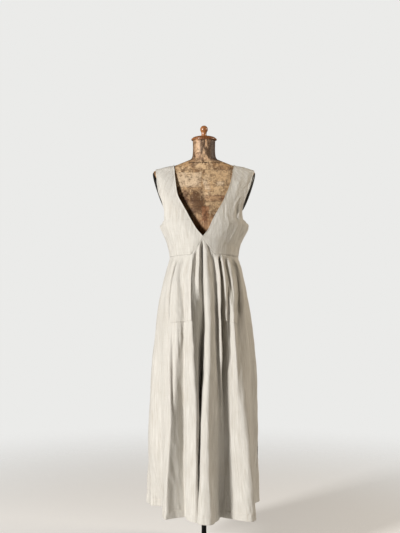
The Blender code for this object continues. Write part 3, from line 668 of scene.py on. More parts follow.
def addSkirt():
    made = []
    settings = (
        ("front", frontFolds, skirt["stepsPerFold"], skirtFrontCreases, 3.7),
        ("back", backFolds, skirt["backStepsPerFold"], skirtBackCreases, 8.1),
    )
    for side, folds, steps, creases, seed in settings:
        cloth = skirtCloth(folds, steps, seed)
        edge = 0.5 * waist["seamGap"] * (-1 if side == "front" else 1)
        cloth.points[0, :, 1] += edge
        cloth.points[-1, :, 1] += edge
        for crease in creases:
            cloth.crease(crease)
        for lumps in skirtLumps:
            cloth.lumps(lumps, seed + lumps.seed)
        sewSkirtEdges(cloth, seed)
        made.append(cloth)
    return made


# Pockets

pockets = {
    "rise": 0.0014,  # above the skirt's face
    "mouthGape": 0.0085,
    "mouthFade": 0.011,
    "edge": 0.006,
    "edgeSoftness": 0.0010,
    "edgeRise": 0.0006,
    "grooveWidth": 0.0016,
    "grooveDepth": 0.0006,
    "puckerReach": 0.009,
    "puckerRise": 0.0030,
    "puckerSeed": 4.4,
    "deepest": 0.0004,
    "stitchStep": 0.002,
    "mouthStitches": 0.012,
    "thickness": 0.0010,
    "stepsAcross": 64,
    "stepsDown": 84,
}
pocketLumps = Lumps(0.03, 0.09, 0.0008, 0, 0.0, False)
# First and last place across, in fold lines, heights of the foot there, the mouth's side and a seed
Pocket = namedtuple("Pocket", "name first last firstFoot lastFoot mouthAtFirst seed")
pocketTable = (
    Pocket("left", 4.0, 8.0, 0.892, 0.903, True, 5.5),
    Pocket("right", 17.667, 21.0, 0.900, 0.890, False, 9.5),
)


def pocketSides(pocket, cloth):
    # The ways from the mouth and from the side across from it
    sides = (cloth.fromStart, cloth.fromEnd)
    return sides if pocket.mouthAtFirst else sides[::-1]


def pocketCloth(pocket, skirtFront):
    # A patch on the skirt's own points, moved out, with its mouth standing open
    laid = skirtFront.laid()
    facing = gridNormals(laid)
    columns = np.linspace(pocket.first, pocket.last, pockets["stepsAcross"] + 1)
    points = []
    heights = []
    shares = np.linspace(0, 1, pockets["stepsDown"] + 1)
    index = np.arange(len(skirtFront.across))
    for across in columns:
        place = np.interp(across, skirtFront.across, index)
        i = min(int(place), len(index) - 2)
        part = place - i
        rail = laid[i] * (1 - part) + laid[i + 1] * part
        out = facing[i] * (1 - part) + facing[i + 1] * part
        out /= np.linalg.norm(out, axis=1, keepdims=True)
        share = (across - pocket.first) / (pocket.last - pocket.first)
        foot = pocket.firstFoot + (pocket.lastFoot - pocket.firstFoot) * share
        top = rail[1, 2]
        wanted = top + (foot - top) * shares
        order = np.argsort(rail[:, 2])
        climb = rail[order, 2]
        at = np.stack([np.interp(wanted, climb, rail[order, axis]) for axis in range(3)], -1)
        away = np.stack([np.interp(wanted, climb, out[order, axis]) for axis in range(3)], -1)
        away /= np.linalg.norm(away, axis=1, keepdims=True)
        points.append(at + away * pockets["rise"])
        heights.append(wanted)
    cloth = Cloth(np.array(points), columns, np.array(heights))
    mouth, inner = pocketSides(pocket, cloth)
    gape = np.sin(math.pi * np.clip(shares, 0, 1)) ** 0.9
    cloth.lift += pockets["mouthGape"] * gape * np.exp(-mouth / pockets["mouthFade"])
    for distance in (inner, cloth.fromFoot):
        cloth.welt(distance, pockets["edge"], pockets["grooveWidth"], -pockets["grooveDepth"])
        cloth.thicker(distance, pockets["edge"], pockets["edgeSoftness"], pockets["edgeRise"])
    reach, rise = pockets["puckerReach"], pockets["puckerRise"]
    cloth.pucker(cloth.fromFoot, pockets["edge"], reach, rise, pockets["puckerSeed"])
    cloth.lumps(pocketLumps, pocket.seed)
    cloth.lift = np.maximum(cloth.lift, -pockets["deepest"])
    return cloth


# Dress form

form = {
    "sides": 160,
    "stepsPerSection": 6,
    "roundness": 2.3,
    "armPlaneLow": (0.1415, 1.311),
    "armPlaneHigh": (0.1905, 1.452),
    "bottom": 0.820,
    "neckTop": 1.584,
    "boardShare": 0.96,
    "boardThickness": 0.018,
    "boardBevel": 0.002,
    "boardBevelShare": 0.004,
    "gap": 0.0003,
}
# Level sections from the bottom to the top of the neck: height, half width, front and back depth
formSections = (
    (0.820, 0.144, 0.098, 0.098),
    (0.860, 0.149, 0.101, 0.104),
    (0.910, 0.149, 0.099, 0.106),
    (0.970, 0.140, 0.094, 0.099),
    (1.030, 0.123, 0.087, 0.088),
    (1.085, 0.109, 0.081, 0.078),
    (1.140, 0.112, 0.088, 0.078),
    (1.200, 0.126, 0.106, 0.083),
    (1.260, 0.1415, 0.119, 0.088),
    (1.290, 0.1415, 0.118, 0.090),
    (1.311, 0.1415, 0.115, 0.092),
    (1.330, 0.1580, 0.109, 0.092),
    (1.355, 0.1720, 0.101, 0.092),
    (1.400, 0.1900, 0.085, 0.086),
    (1.435, 0.1990, 0.068, 0.074),
    (1.452, 0.2015, 0.056, 0.063),
    (1.463, 0.1945, 0.050, 0.056),
    (1.4735, 0.172, 0.047, 0.052),
    (1.4865, 0.1135, 0.046, 0.050),
    (1.4960, 0.0880, 0.046, 0.049),
    (1.5040, 0.0680, 0.045, 0.048),
    (1.5125, 0.0500, 0.0445, 0.047),
    (1.5240, 0.0445, 0.0430, 0.0455),
    (1.5500, 0.0425, 0.0415, 0.0440),
    (1.584, 0.0432, 0.0420, 0.0445),
)


def ovalRing(halfWidth, front, back, height, sides, power):
    turn = np.linspace(0, tau, sides, endpoint=False)
    across = np.sign(np.sin(turn)) * np.abs(np.sin(turn)) ** power
    fore = np.sign(np.cos(turn)) * np.abs(np.cos(turn)) ** power
    depth = np.where(fore > 0, front, back)
    return np.stack((halfWidth * across, -depth * fore, np.full(sides, height)), axis=-1)


def loft(name, rings, material):
    # A closed body through rings of points, lowest first, its ends closed by fans
    rings = np.asarray(rings)
    levels, sides = rings.shape[:2]
    vertices = rings.reshape(-1, 3).tolist()
    faces = []
    for low in range(levels - 1):
        for k in range(sides):
            after = (k + 1) % sides
            base = low * sides
            faces.append((base + k, base + after, base + sides + after, base + sides + k))
    for level, flip in ((0, True), (levels - 1, False)):
        vertices.append(rings[level].mean(axis=0).tolist())
        middle = len(vertices) - 1
        for k in range(sides):
            pair = (level * sides + k, level * sides + (k + 1) % sides)
            faces.append((middle, *(pair[::-1] if flip else pair)))
    mesh = bpy.data.meshes.new(name)
    mesh.from_pydata(vertices, [], faces)
    return linkObject(name, mesh, material)


def formRings():
    places = range(len(formSections))
    curve = Curve(places, formSections)
    count = (len(formSections) - 1) * form["stepsPerSection"] + 1
    power = 2 / form["roundness"]
    low, high = form["armPlaneLow"], form["armPlaneHigh"]
    rings = []
    for place in np.linspace(0, len(formSections) - 1, count):
        height, halfWidth, front, back = curve(place)
        ring = ovalRing(halfWidth, front, back, height, form["sides"], power)
        if height > low[1]:
            reach = low[0] + (height - low[1]) * (high[0] - low[0]) / (high[1] - low[1])
            ring[:, 0] = np.clip(ring[:, 0], -reach, reach)
        rings.append(ring)
    return np.array(rings)


def surfaceOf(item):
    mesh = item.data
    points = [vertex.co for vertex in mesh.vertices]
    return BVHTree.FromPolygons(points, [tuple(face.vertices) for face in mesh.polygons])


# Bodice

bodice = {
    "columns": 76,
    "stepsPerStation": 11,
    "thickness": 0.0010,
    "clearance": 0.0011,
    "strapClearance": 0.0012,
    "neckStart": {"front": 1, "back": 4},  # stations above the waist seam
    "armholeStart": 3,
    "evenShare": 0.62,  # of the columns' spacing, the rest closing up at both edges
    "closeShare": 0.38,
    "replacedSteps": 9,  # even steps that the fine ones at the waist seam replace
    "edgeTurn": 0.007,
    "edgeRise": 0.0005,
    "edgeSoftness": 0.0009,
    "edgeCurl": 0.0012,
    "curlWidth": 0.0022,
    "grooveStep": 0.0012,
    "grooveWidth": 0.0012,
    "grooveDepth": 0.0005,
    "waistRidge": (0.005, 0.003, 0.0006),  # inset, width and rise
    "waistStitches": 0.0035,
    "stitchStart": 0.2,  # stations above where an edge starts
    "deepest": 0.0035,
    "grainRadius": 0.15,  # the threads run upright round the body
    "grainDepth": 0.03,
    "shoulderNeck": 0.1135,
    "shoulderArm": 0.1905,
    "shoulderLeftNeck": 0.001,
    "shoulderLeftArm": -0.009,
}
# Fine steps above the waist seam, counted in even steps
seamSteps = np.array([0.12, 0.30, 0.55, 0.8, 1.2, 1.6, 2.2, 3, 4, 5.5, 7.5])
bodiceLumps = (
    Lumps(0.045, 0.080, 0.0014, 2.3, 0.0, False),
    Lumps(0.024, 0.060, 0.0011, 5.1, 0.15, True),
    Lumps(0.014, 0.034, 0.0006, 7.7, -0.35, True),
)
# Each bodice piece is laid through stations from the waist to the shoulder, from its neck edge to
# its side or armhole edge. Fullness 1 is a straight cloth between them and 2 a quarter ellipse.
Station = namedtuple("Station", "name neckX neckY neckZ armX armY armZ fullness leftNeck leftArm")
frontStations = (
    Station("above the waist", 0, -0.1483, 1.2115, 0.1325, 0, 1.149, 2.0, 0, 0),
    Station("rib", 0.0145, -0.1465, 1.2370, 0.1420, 0, 1.190, 2.1, 0.0115, 0),
    Station("underarm", 0.0305, -0.1420, 1.2720, 0.1690, 0, 1.250, 2.1, 0.0170, -0.0025),
    Station("bust", 0.0500, -0.1335, 1.3080, 0.1460, -0.062, 1.273, 1.9, 0.0170, 0.0020),
    Station("armhole", 0.0665, -0.1230, 1.3370, 0.1409, -0.080, 1.302, 1.6, 0.0165, 0.0070),
    Station("chest", 0.0785, -0.1120, 1.3640, 0.1484, -0.080, 1.337, 1.4, 0.0180, 0.0080),
    Station("low strap", 0.0915, -0.0965, 1.3930, 0.1628, -0.070, 1.376, 1.3, 0.0115, 0.0070),
    Station("strap", 0.1025, -0.0755, 1.4280, 0.1782, -0.050, 1.418, 1.3, 0.0055, -0.0010),
    Station("high strap", 0.1095, -0.0455, 1.4640, 0.1885, -0.034, 1.450, 1.3, 0.0025, -0.0080),
    Station("shoulder top", 0.1120, -0.0270, 1.4790, 0.1905, -0.017, 1.463, 1.5, 0.0010, -0.0085),
)
backStations = (
    Station("above the waist", 0, 0.1090, 1.149, 0.1325, 0, 1.149, 2.0, 0, 0),
    Station("rib", 0, 0.1130, 1.195, 0.1420, 0, 1.190, 2.1, 0, 0),
    Station("underarm", 0, 0.1170, 1.252, 0.1690, 0, 1.250, 2.1, 0, -0.0025),
    Station("blade", 0, 0.1180, 1.290, 0.1480, 0.058, 1.276, 1.9, 0, 0.0020),
    Station("low back", 0.0200, 0.1165, 1.3270, 0.1425, 0.077, 1.308, 1.6, 0, 0.0040),
    Station("back", 0.0430, 0.1110, 1.3640, 0.1500, 0.080, 1.342, 1.4, 0, 0.0040),
    Station("low strap", 0.0680, 0.1000, 1.4020, 0.1640, 0.072, 1.380, 1.3, 0, 0.0020),
    Station("strap", 0.0920, 0.0790, 1.4370, 0.1785, 0.053, 1.420, 1.3, 0, -0.0020),
    Station("high strap", 0.1070, 0.0480, 1.4660, 0.1880, 0.036, 1.450, 1.3, 0, -0.0080),
    Station("shoulder top", 0.1110, 0.0290, 1.4795, 0.1900, 0.018, 1.463, 1.5, 0, -0.0085),
)
# Creases: from a place to a place, each a share from the neck edge to the arm edge and a station
# counted from the waist seam, then width, rise and bow in millimetres
bodiceCreases = {
    ("front", "right"): (
        Crease(0.92, 4.3, 0.62, 2.7, 4.5, 4.2, 3),
        Crease(0.97, 3.7, 0.76, 2.2, 4, 4.6, -3),
        Crease(0.99, 3.2, 0.88, 1.6, 4, 3.6, 2),
        Crease(0.74, 5.4, 0.52, 3.2, 4.5, 4.4, 2),
        Crease(0.62, 6.6, 0.46, 4.2, 5, 3.4, -3),
        Crease(0.70, 2.6, 0.66, 0.6, 8, -5.0, 3),
        Crease(0.86, 1.9, 0.88, 0.2, 6, 4.0, 0),
        Crease(0.46, 3.2, 0.48, 1.0, 6, 3.0, 4),
        Crease(0.55, 6.4, 0.50, 3.4, 9, -3.0, 5),
        Crease(0.95, 9.8, 0.66, 7.0, 8, -3.4, 3),
        Crease(0.40, 8.6, 0.42, 6.0, 8, 3.0, -3),
        Crease(0.14, 5.2, 0.20, 3.0, 4, -1.8, 2),
        Crease(0.24, 4.0, 0.33, 2.0, 5, 1.6, -2),
        Crease(0.60, 1.6, 0.62, 0.3, 8, -1.8, 2),
    ),
    ("front", "left"): (
        Crease(0.92, 4.2, 0.66, 2.9, 6, 3.4, 3),
        Crease(0.98, 3.4, 0.80, 2.0, 5, 3.2, -3),
        Crease(0.78, 2.3, 0.74, 0.6, 8, -3.6, 3),
        Crease(0.60, 5.0, 0.58, 3.2, 9, -3.0, 4),
        Crease(0.42, 3.4, 0.46, 1.6, 9, 1.6, -3),
        Crease(0.80, 8.8, 0.66, 6.6, 9, -1.8, 3),
        Crease(0.16, 4.6, 0.24, 2.6, 5, -1.4, 2),
        Crease(0.72, 1.8, 0.70, 0.3, 8, -1.8, 2),
    ),
    ("back", "right"): (
        Crease(0.94, 4.0, 0.66, 3.0, 7, -2.6, 3),
        Crease(0.90, 3.0, 0.72, 1.8, 8, -2.4, 3),
        Crease(0.30, 3.6, 0.34, 1.4, 11, -2.0, -4),
        Crease(0.58, 2.6, 0.55, 0.6, 10, 2.0, 4),
        Crease(0.62, 8.4, 0.50, 6.0, 9, -1.8, 3),
    ),
    ("back", "left"): (
        Crease(0.95, 3.9, 0.70, 2.8, 7, -2.6, -3),
        Crease(0.86, 2.8, 0.74, 1.4, 8, -2.4, 3),
        Crease(0.36, 3.2, 0.30, 1.2, 11, -2.0, 4),
        Crease(0.54, 2.2, 0.58, 0.5, 10, 2.0, -4),
        Crease(0.55, 8.0, 0.46, 5.6, 9, -1.8, -3),
    ),
}


def shoulderHeight(x):
    ridge = [row for row in formSections if 1.46 < row[0] < 1.52][::-1]
    return Curve([row[1] for row in ridge], [row[0] for row in ridge])(x)


def bodiceCloth(stations, side, front, surface):
    left = side < 0
    facing = -1 if front else 1
    centre = waist["frontCentre"] if front else 0.0
    spread = np.linspace(0, math.pi, bodice["columns"] + 1)
    even = np.linspace(0, 1, bodice["columns"] + 1)
    shares = bodice["evenShare"] * even + bodice["closeShare"] * (1 - np.cos(spread)) / 2
    peakWidth = bellCurve(waist["peakHeight"])[0]
    columns = []
    downs = []
    for share in shares:
        start = math.asin(centre / peakWidth) if front else 0.0
        turn = start + (side * math.pi / 2 - start) * share
        turn = turn if front else math.pi - turn
        seam = bellPoints(np.array(turn), 0, waistHeight(np.array(turn)))
        seam[2] += waist["seamGap"] / 2
        seam[0] *= side
        rail = [seam]
        angle = share * math.pi / 2
        for row in stations:
            neckX = row.neckX + row.leftNeck * left if row.neckX else centre * side
            armX = row.armX + row.leftArm * left
            along = math.sin(angle) ** (2 / row.fullness)
            fore = math.cos(angle) ** (2 / row.fullness) if share < 1 else 0
            x = neckX + (armX - neckX) * along
            y = row.armY + (row.neckY - row.armY) * fore
            rail.append(np.array((x, y, row.neckZ + (row.armZ - row.neckZ) * share)))
        neckX = bodice["shoulderNeck"] + bodice["shoulderLeftNeck"] * left
        armX = bodice["shoulderArm"] + bodice["shoulderLeftArm"] * left
        x = neckX + (armX - neckX) * share
        z = shoulderHeight(x) + bodice["strapClearance"] + bodice["thickness"] / 2
        rail.append(np.array((x, 0, z)))
        places = np.linspace(0, len(rail) - 1, (len(rail) - 1) * bodice["stepsPerStation"] + 1)
        kept = places[bodice["replacedSteps"]:]
        places = np.concatenate(([0], seamSteps / bodice["stepsPerStation"], kept))
        column = Curve(range(len(rail)), rail)(places)
        column[:, 0] *= side
        columns.append(column)
        downs.append(places)
    points = np.array(columns)
    layOver(surface, points, bodice["clearance"] + bodice["thickness"] / 2)
    half = waist["seamGap"] / 2
    points[:, :, 0] = centre + np.maximum((points[:, :, 0] - centre) * side, half) * side
    points[:, :, 1] = np.maximum(points[:, :, 1] * facing, half) * facing
    cloth = Cloth(points, shares, np.array(downs), outward=side * facing)
    depth = np.abs(points[..., 1]) + bodice["grainDepth"]
    around = np.arctan2(points[..., 0], depth) * bodice["grainRadius"]
    cloth.weave = (around, points[:, :1, 2] + cloth.v)
    return cloth


def layOver(surface, points, clearance):
    # Pushes the cloth out of the form and eases the pushes into their surroundings
    base = points.copy()
    for ease in (6, 4, 2, 0):
        for i in range(points.shape[0]):
            for j in range(1, points.shape[1]):
                spot = Vector(points[i, j])
                nearest, facing, _, distance = surface.find_nearest(spot)
                if (spot - nearest).dot(facing) < 0 or distance < clearance:
                    points[i, j] = nearest + facing * clearance
        moved = points - base
        for _ in range(ease):
            eased = moved.copy()
            eased[1:-1, 1:-1] += moved[:-2, 1:-1] + moved[2:, 1:-1] + moved[1:-1, :-2] + moved[1:-1, 2:]
            eased[1:-1, 1:-1] /= 5
            moved = eased
        points[:] = base + moved


def sewBodiceEdges(cloth, face):
    # Turned and sewn neck and armhole edges that curl a little, and a tucked waist seam
    turn = bodice["edgeTurn"]
    edges = ((cloth.fromStart, bodice["neckStart"][face]), (cloth.fromEnd, bodice["armholeStart"]))
    for distance, start in edges:
        before = cloth.lift.copy()
        cloth.thicker(distance, turn, bodice["edgeSoftness"], bodice["edgeRise"])
        cloth.welt(distance, turn - bodice["grooveStep"], bodice["grooveWidth"], -bodice["grooveDepth"])
        cloth.welt(distance, 0, bodice["curlWidth"], bodice["edgeCurl"])
        cloth.lift = np.where(cloth.down > start, cloth.lift, before)
    cloth.welt(cloth.fromTop, 0, waist["tuckWidth"], -waist["tuck"])
    cloth.welt(cloth.fromTop, *bodice["waistRidge"])


def addBodice(surface):
    made = {}
    for face, stations in (("front", frontStations), ("back", backStations)):
        for side, name in ((-1, "left"), (1, "right")):
            cloth = bodiceCloth(stations, side, face == "front", surface)
            for crease in bodiceCreases[face, name]:
                cloth.crease(crease)
            for lumps in bodiceLumps:
                cloth.lumps(lumps, side * lumps.seed + len(face))
            sewBodiceEdges(cloth, face)
            cloth.lift = np.maximum(cloth.lift, -bodice["deepest"])
            made[face, name] = cloth
    return made


# Wood, paint and paper

turnedWood = {
    "light": (0.42, 0.17, 0.055),
    "dark": (0.105, 0.030, 0.010),
    "coat": 0.55,
    "grain": 90.0,
}
boardWood = {
    "light": (0.36, 0.22, 0.12),
    "dark": (0.16, 0.09, 0.045),
    "coat": 0.05,
    "grain": 60.0,
}


def woodFinish(name, wood):
    finish = Finish(name, IOR=1.48, Coat_Weight=wood["coat"], Coat_Roughness=0.18)
    place = finish.here()
    fine = wood["grain"]
    warped = finish.noise(finish.stretched(place, (14.0, 14.0, 5.0)), 1.0, 3.0)
    grain = finish.noise(finish.stretched(place, (fine, fine, fine / 9)), 1.0, 4.0, 0.65, 1.2)
    pores = finish.noise(finish.stretched(place, (700.0, 700.0, 60.0)), 1.0, 2.0)
    tone = finish.rise(grain * 0.7 + warped * 0.5, 0.38, 0.82)
    colour = finish.mix(tone, wood["dark"], wood["light"])
    colour = finish.mix(finish.rise(pores, 0.60, 0.75) * 0.5, colour, wood["dark"])
    height = grain * 0.5 - finish.rise(pores, 0.58, 0.72) * 0.5
    normal = finish.bump(height, 0.0004, 0.6)
    return finish.surface(Base_Color=colour, Roughness=0.34 + warped * 0.16, Normal=normal)


black = {
    "paint": (0.010, 0.010, 0.0095),
    "wear": (0.045, 0.036, 0.028),
    "dust": (0.20, 0.19, 0.17),
}


def blackFinish(name, roughness, bumps):
    finish = Finish(name, IOR=1.5, Coat_Weight=0.35, Coat_Roughness=0.2)
    place = finish.here()
    wear = finish.noise(place, 38.0, 5.0, 0.65)
    peel = finish.noise(place, bumps, 3.0)
    dust = finish.noise(place, 9.0, 3.0)
    colour = finish.mix(finish.rise(wear, 0.60, 0.80) * 0.35, black["paint"], black["wear"])
    colour = finish.mix(finish.rise(dust, 0.5, 0.8) * 0.10, colour, black["dust"])
    normal = finish.bump(peel + wear * 0.5, 0.0005, 0.5)
    return finish.surface(Base_Color=colour, Roughness=roughness + wear * 0.25, Normal=normal)


paper = {
    "light": (0.640, 0.445, 0.255),
    "mid": (0.470, 0.285, 0.138),
    "dark": (0.100, 0.044, 0.015),
    # The next colour paints real seams and drips, and also painted shade on the neck's sides and right side
    "stainAndShade": (0.050, 0.022, 0.009),
    "bloom": (0.730, 0.560, 0.380),
    "rust": (0.330, 0.115, 0.040),
    "neck": (0.620, 0.390, 0.240),
}
# Paper patches pasted on the front, listed one by one: middle, half sizes, tone, strength and edge fade
Patch = namedtuple("Patch", "x height halfWidth halfHeight tone strength soft")
frontPatches = (
    Patch(-0.058, 1.428, 0.048, 0.030, "bloom", 0.85, 0.003),
    Patch(0.052, 1.438, 0.050, 0.030, "light", 0.85, 0.003),
    Patch(0.010, 1.404, 0.012, 0.046, "bloom", 0.35, 0.003),
    Patch(0.070, 1.386, 0.046, 0.022, "light", 0.80, 0.003),
    Patch(-0.062, 1.362, 0.056, 0.036, "dark", 0.95, 0.013),
    Patch(-0.030, 1.318, 0.034, 0.030, "dark", 0.75, 0.013),
    Patch(0.052, 1.356, 0.050, 0.012, "rust", 0.50, 0.003),
    Patch(0.060, 1.412, 0.013, 0.009, "bloom", 0.95, 0.003),
    Patch(0.002, 1.416, 0.008, 0.012, "bloom", 0.95, 0.003),
    Patch(0.014, 1.396, 0.012, 0.008, "bloom", 0.80, 0.003),
    Patch(0.034, 1.336, 0.030, 0.030, "light", 0.45, 0.003),
    Patch(0.004, 1.296, 0.014, 0.028, "rust", 0.65, 0.003),
    Patch(-0.024, 1.262, 0.020, 0.020, "dark", 0.45, 0.013),
    Patch(0.030, 1.272, 0.020, 0.018, "mid", 0.50, 0.003),
)


def paperFinish():
    finish = Finish("agedPaper", IOR=1.45, Coat_Weight=0.10, Coat_Roughness=0.35)
    place = finish.here()
    x, y, z = finish.parts(place)
    rag = finish.noise(place, 38.0, 5.0, 0.7) - 0.5
    front = finish.rise(y, 0.01, -0.01)
    swirling = {"Vector": place, "Scale": 26.0, "Detail": 6.0, "Roughness": 0.65}
    swirl = finish.node("ShaderNodeTexNoise", {}, swirling, 1)
    push = finish.node("ShaderNodeVectorMath", {"operation": "SCALE"}, {0: swirl, "Scale": 0.105})
    warped = finish.node("ShaderNodeVectorMath", {"operation": "ADD"}, {0: place, 1: push})
    inputs = {"Vector": warped, "Scale": 27.0, "Randomness": 1.0}
    scrap = finish.node("ShaderNodeTexVoronoi", {"feature": "F1"}, inputs, 1)
    scrapTone = finish.parts(scrap)[0]
    edges = finish.node("ShaderNodeTexVoronoi", {"feature": "DISTANCE_TO_EDGE"}, inputs, 0)
    blotch = finish.noise(place, 27.0, 7.0, 0.72, 0.5)
    mottle = finish.noise(place, 75.0, 6.0, 0.75, 0.3)
    specks = finish.noise(place, 190.0, 4.0, 0.7)
    drips = finish.noise(finish.stretched(place, (55.0, 55.0, 11.0)), 1.0, 5.0, 0.65, 0.3)
    colour = finish.mix(finish.rise(scrapTone, 0.2, 0.8), paper["mid"], paper["light"])
    colour = finish.mix(finish.rise(scrapTone, 0.25, 0.05) * 0.45, colour, paper["dark"])
    colour = finish.mix(finish.rise(blotch, 0.44, 0.60) * 0.75, colour, paper["dark"])
    colour = finish.mix(finish.rise(mottle, 0.50, 0.62) * 0.55, colour, paper["dark"])
    seams = finish.rise(edges, 0.045, 0.0) * finish.rise(mottle, 0.40, 0.60) * 0.45
    for patch in frontPatches:
        acrossGap = finish.maths("ABSOLUTE", x + rag * 0.022 - patch.x) - patch.halfWidth
        downGap = finish.maths("ABSOLUTE", z + rag * 0.018 - patch.height) - patch.halfHeight
        outside = finish.maths("MAXIMUM", acrossGap, downGap)
        mask = finish.rise(outside, patch.soft, -1.6 * patch.soft) * front
        mottled = finish.mix(finish.rise(mottle, 0.44, 0.66) * 0.60, paper[patch.tone], paper["dark"])
        worn = finish.rise(blotch, 0.30, 0.50) * mask * patch.strength
        colour = finish.mix(worn, colour, mottled)
        rim = finish.band(outside, 0.0, 0.0003, 0.0011) * finish.rise(blotch, 0.36, 0.56) * front
        seams = finish.maths("MAXIMUM", seams, rim * 0.45)
    upright = finish.noise(finish.stretched(place, (150.0, 60.0, 16.0)), 1.0, 5.0, 0.65)
    lowDark = finish.rise(z + x * 0.30, 1.375, 1.225) * front
    colour = finish.mix(lowDark * finish.rise(upright, 0.40, 0.62) * 0.85, colour, paper["dark"])
    colour = finish.mix(finish.rise(z, 1.300, 1.250) * front * 0.35, colour, paper["rust"])
    neck = finish.rise(z, 1.494, 1.512)
    colour = finish.mix(neck * finish.rise(mottle, 0.64, 0.40) * 0.75, colour, paper["neck"])
    # Drip stains on the neck, biased towards its right side so that they also paint shade there
    neckDripsAndRightShade = finish.rise(drips + x * 3.2, 0.46, 0.60) * neck
    colour = finish.mix(neckDripsAndRightShade * 0.92, colour, paper["stainAndShade"])
    # Painted shade: both sides of the neck are darkened where they turn away from the front, mottled
    neckSidePaintedShade = finish.rise(finish.maths("ABSOLUTE", x + rag * 0.02 + 0.004), 0.022, 0.041) * neck
    colour = finish.mix(neckSidePaintedShade * finish.rise(mottle, 0.26, 0.50) * 0.92, colour, paper["stainAndShade"])
    collarSeam = finish.band(z + rag * 0.016, 1.4945, 0.0008, 0.0020) * finish.rise(mottle, 0.36, 0.56)
    collarSeam = collarSeam * finish.rise(finish.maths("ABSOLUTE", x + rag * 0.05), 0.075, 0.050)
    seams = finish.maths("MAXIMUM", seams, collarSeam)
    colour = finish.mix(seams, colour, paper["stainAndShade"])
    colour = finish.mix(finish.rise(specks, 0.57, 0.70) * 0.60, colour, paper["dark"])
    colour = finish.mix(finish.rise(specks, 0.40, 0.30) * 0.35, colour, paper["bloom"])
    height = scrapTone * 0.8 + blotch * 1.2 + mottle * 0.9 + specks * 0.3 - seams
    normal = finish.bump(height, 0.0022, 0.9)
    roughness = 0.44 + blotch * 0.28
    return finish.surface(Base_Color=colour, Roughness=roughness, Normal=normal)


def addForm():
    item = loft("formBody", formRings(), paperFinish())
    dress(item, "form_body")
    top = form["bottom"] - form["gap"]
    halfWidth, front, back = (value * form["boardShare"] for value in formSections[0][1:])
    thick, bevel, small = form["boardThickness"], form["boardBevel"], 1 - form["boardBevelShare"]
    power = 2 / form["roundness"]
    rings = []
    for share, height in ((small, 0), (1, bevel), (1, thick - bevel), (small, thick)):
        level = top - thick + height
        sizes = (halfWidth * share, front * share, back * share)
        rings.append(ovalRing(*sizes, level, form["sides"], power))
    board = loft("formBottomBoard", rings, woodFinish("boardWood", boardWood))
    dress(board, "form_bottom_board")
    return item


plate = {
    "halfLength": 0.078,
    "halfDepth": 0.050,
    "rim": 0.0025,
    "bevel": 0.0006,
    "bevelShare": 0.995,
    "dome": 0.0085,
    "domeShare": 0.993,
    "foot": 0.002,
    "sides": 96,
    "rings": 14,
}


def addArmPlates():
    paint = blackFinish("blackPlatePaint", 0.22, 240.0)
    low, high = form["armPlaneLow"], form["armPlaneHigh"]
    for side, name in ((-1, "left"), (1, "right")):
        along = np.array((side * (high[0] - low[0]), 0, high[1] - low[1]))
        along /= np.linalg.norm(along)
        facing = np.array((side * along[2], 0, -side * along[0]))
        middle = np.array((side * low[0], 0, low[1])) + along * (plate["halfLength"] + plate["foot"])
        rings = []
        rim, bevel, domeShare = plate["rim"], plate["bevel"], plate["domeShare"]
        layers = [(plate["bevelShare"], 0), (1, bevel), (1, rim - bevel), (domeShare, rim)]
        for step in range(1, plate["rings"]):
            share = step / plate["rings"] * 0.98
            height = rim + plate["dome"] * (1 - (1 - share) ** 2)
            layers.append((domeShare * (1 - share**1.6), height))
        turn = np.linspace(0, tau, plate["sides"], endpoint=False) * side
        for size, lift in layers:
            ring = middle + facing * (form["gap"] + lift)
            ring = ring + np.outer(np.cos(turn), along) * plate["halfLength"] * size
            ring[:, 1] += plate["halfDepth"] * size * np.sin(turn)
            rings.append(ring)
        item = loft(f"armPlate{name.capitalize()}", rings, paint)
        dress(item, f"form_arm_plate_{name}")


def arc(radius, height, bend, start, end, steps):
    # Radii and heights of a turned corner, by angle above the horizontal
    angles = np.radians(np.linspace(start, end, steps + 1))
    return [(radius + bend * math.cos(a), height + bend * math.sin(a)) for a in angles]


def turned(name, profile, sides, material):
    # A round body from radii and heights, lowest first
    turn = np.linspace(0, tau, sides, endpoint=False)
    rings = []
    for radius, height in profile:
        level = np.full(sides, height)
        rings.append(np.stack((radius * np.cos(turn), radius * np.sin(turn), level), axis=-1))
    return loft(name, rings, material)


cap = {
    "radius": 0.0492,
    "foot": 0.0450,
    "rim": 0.0070,
    "dome": 0.0110,
    "ledge": 0.0040,
    "stem": 0.0100,
    "knob": 0.0148,
    "knobHeight": 0.0245,
    "domeSteps": 15,
    "sides": 96,
    "knobSides": 64,
}


def addNeckCap():
    base = form["neckTop"] + form["gap"]
    half = cap["rim"] / 2
    profile = [(cap["foot"], base)] + arc(cap["radius"] - half, base + half, half, -60, 60, 12)
    profile += [(cap["radius"] - cap["ledge"] + 0.0008, base + cap["rim"] - 0.0002)]
    for step in range(1, cap["domeSteps"] - 1):
        angle = math.pi / 2 * step / cap["domeSteps"]
        reach = (cap["radius"] - cap["ledge"]) * math.cos(angle)
        profile.append((reach, base + cap["rim"] + cap["dome"] * math.sin(angle)))
    knobBase = base + cap["rim"] + cap["dome"]
    profile.append((cap["stem"] + 0.0005, knobBase))
    wood = woodFinish("turnedWood", turnedWood)
    dress(turned("neckCap", profile, cap["sides"], wood), "neck_cap")
    foot = knobBase + form["gap"]
    stem = [
        (cap["stem"] + 0.001, foot),
        (cap["stem"] + 0.0003, foot + 0.002),
        (cap["stem"], foot + 0.005),
        (cap["stem"], foot + 0.010),
        (cap["stem"] + 0.0006, foot + 0.013),
    ]
    head = arc(0, foot + cap["knobHeight"], cap["knob"], -38, 84, 22)
    dress(turned("capKnob", stem + head, cap["knobSides"], wood), "cap_knob")


stand = {
    "pole": 0.0095,
    "flange": 0.034,
    "flangeThickness": 0.008,
    "collar": 0.021,
    "collarHeight": 0.042,
    "plate": 0.170,
    "plateThickness": 0.009,
    "plateSides": 128,
    "poleSides": 48,
}


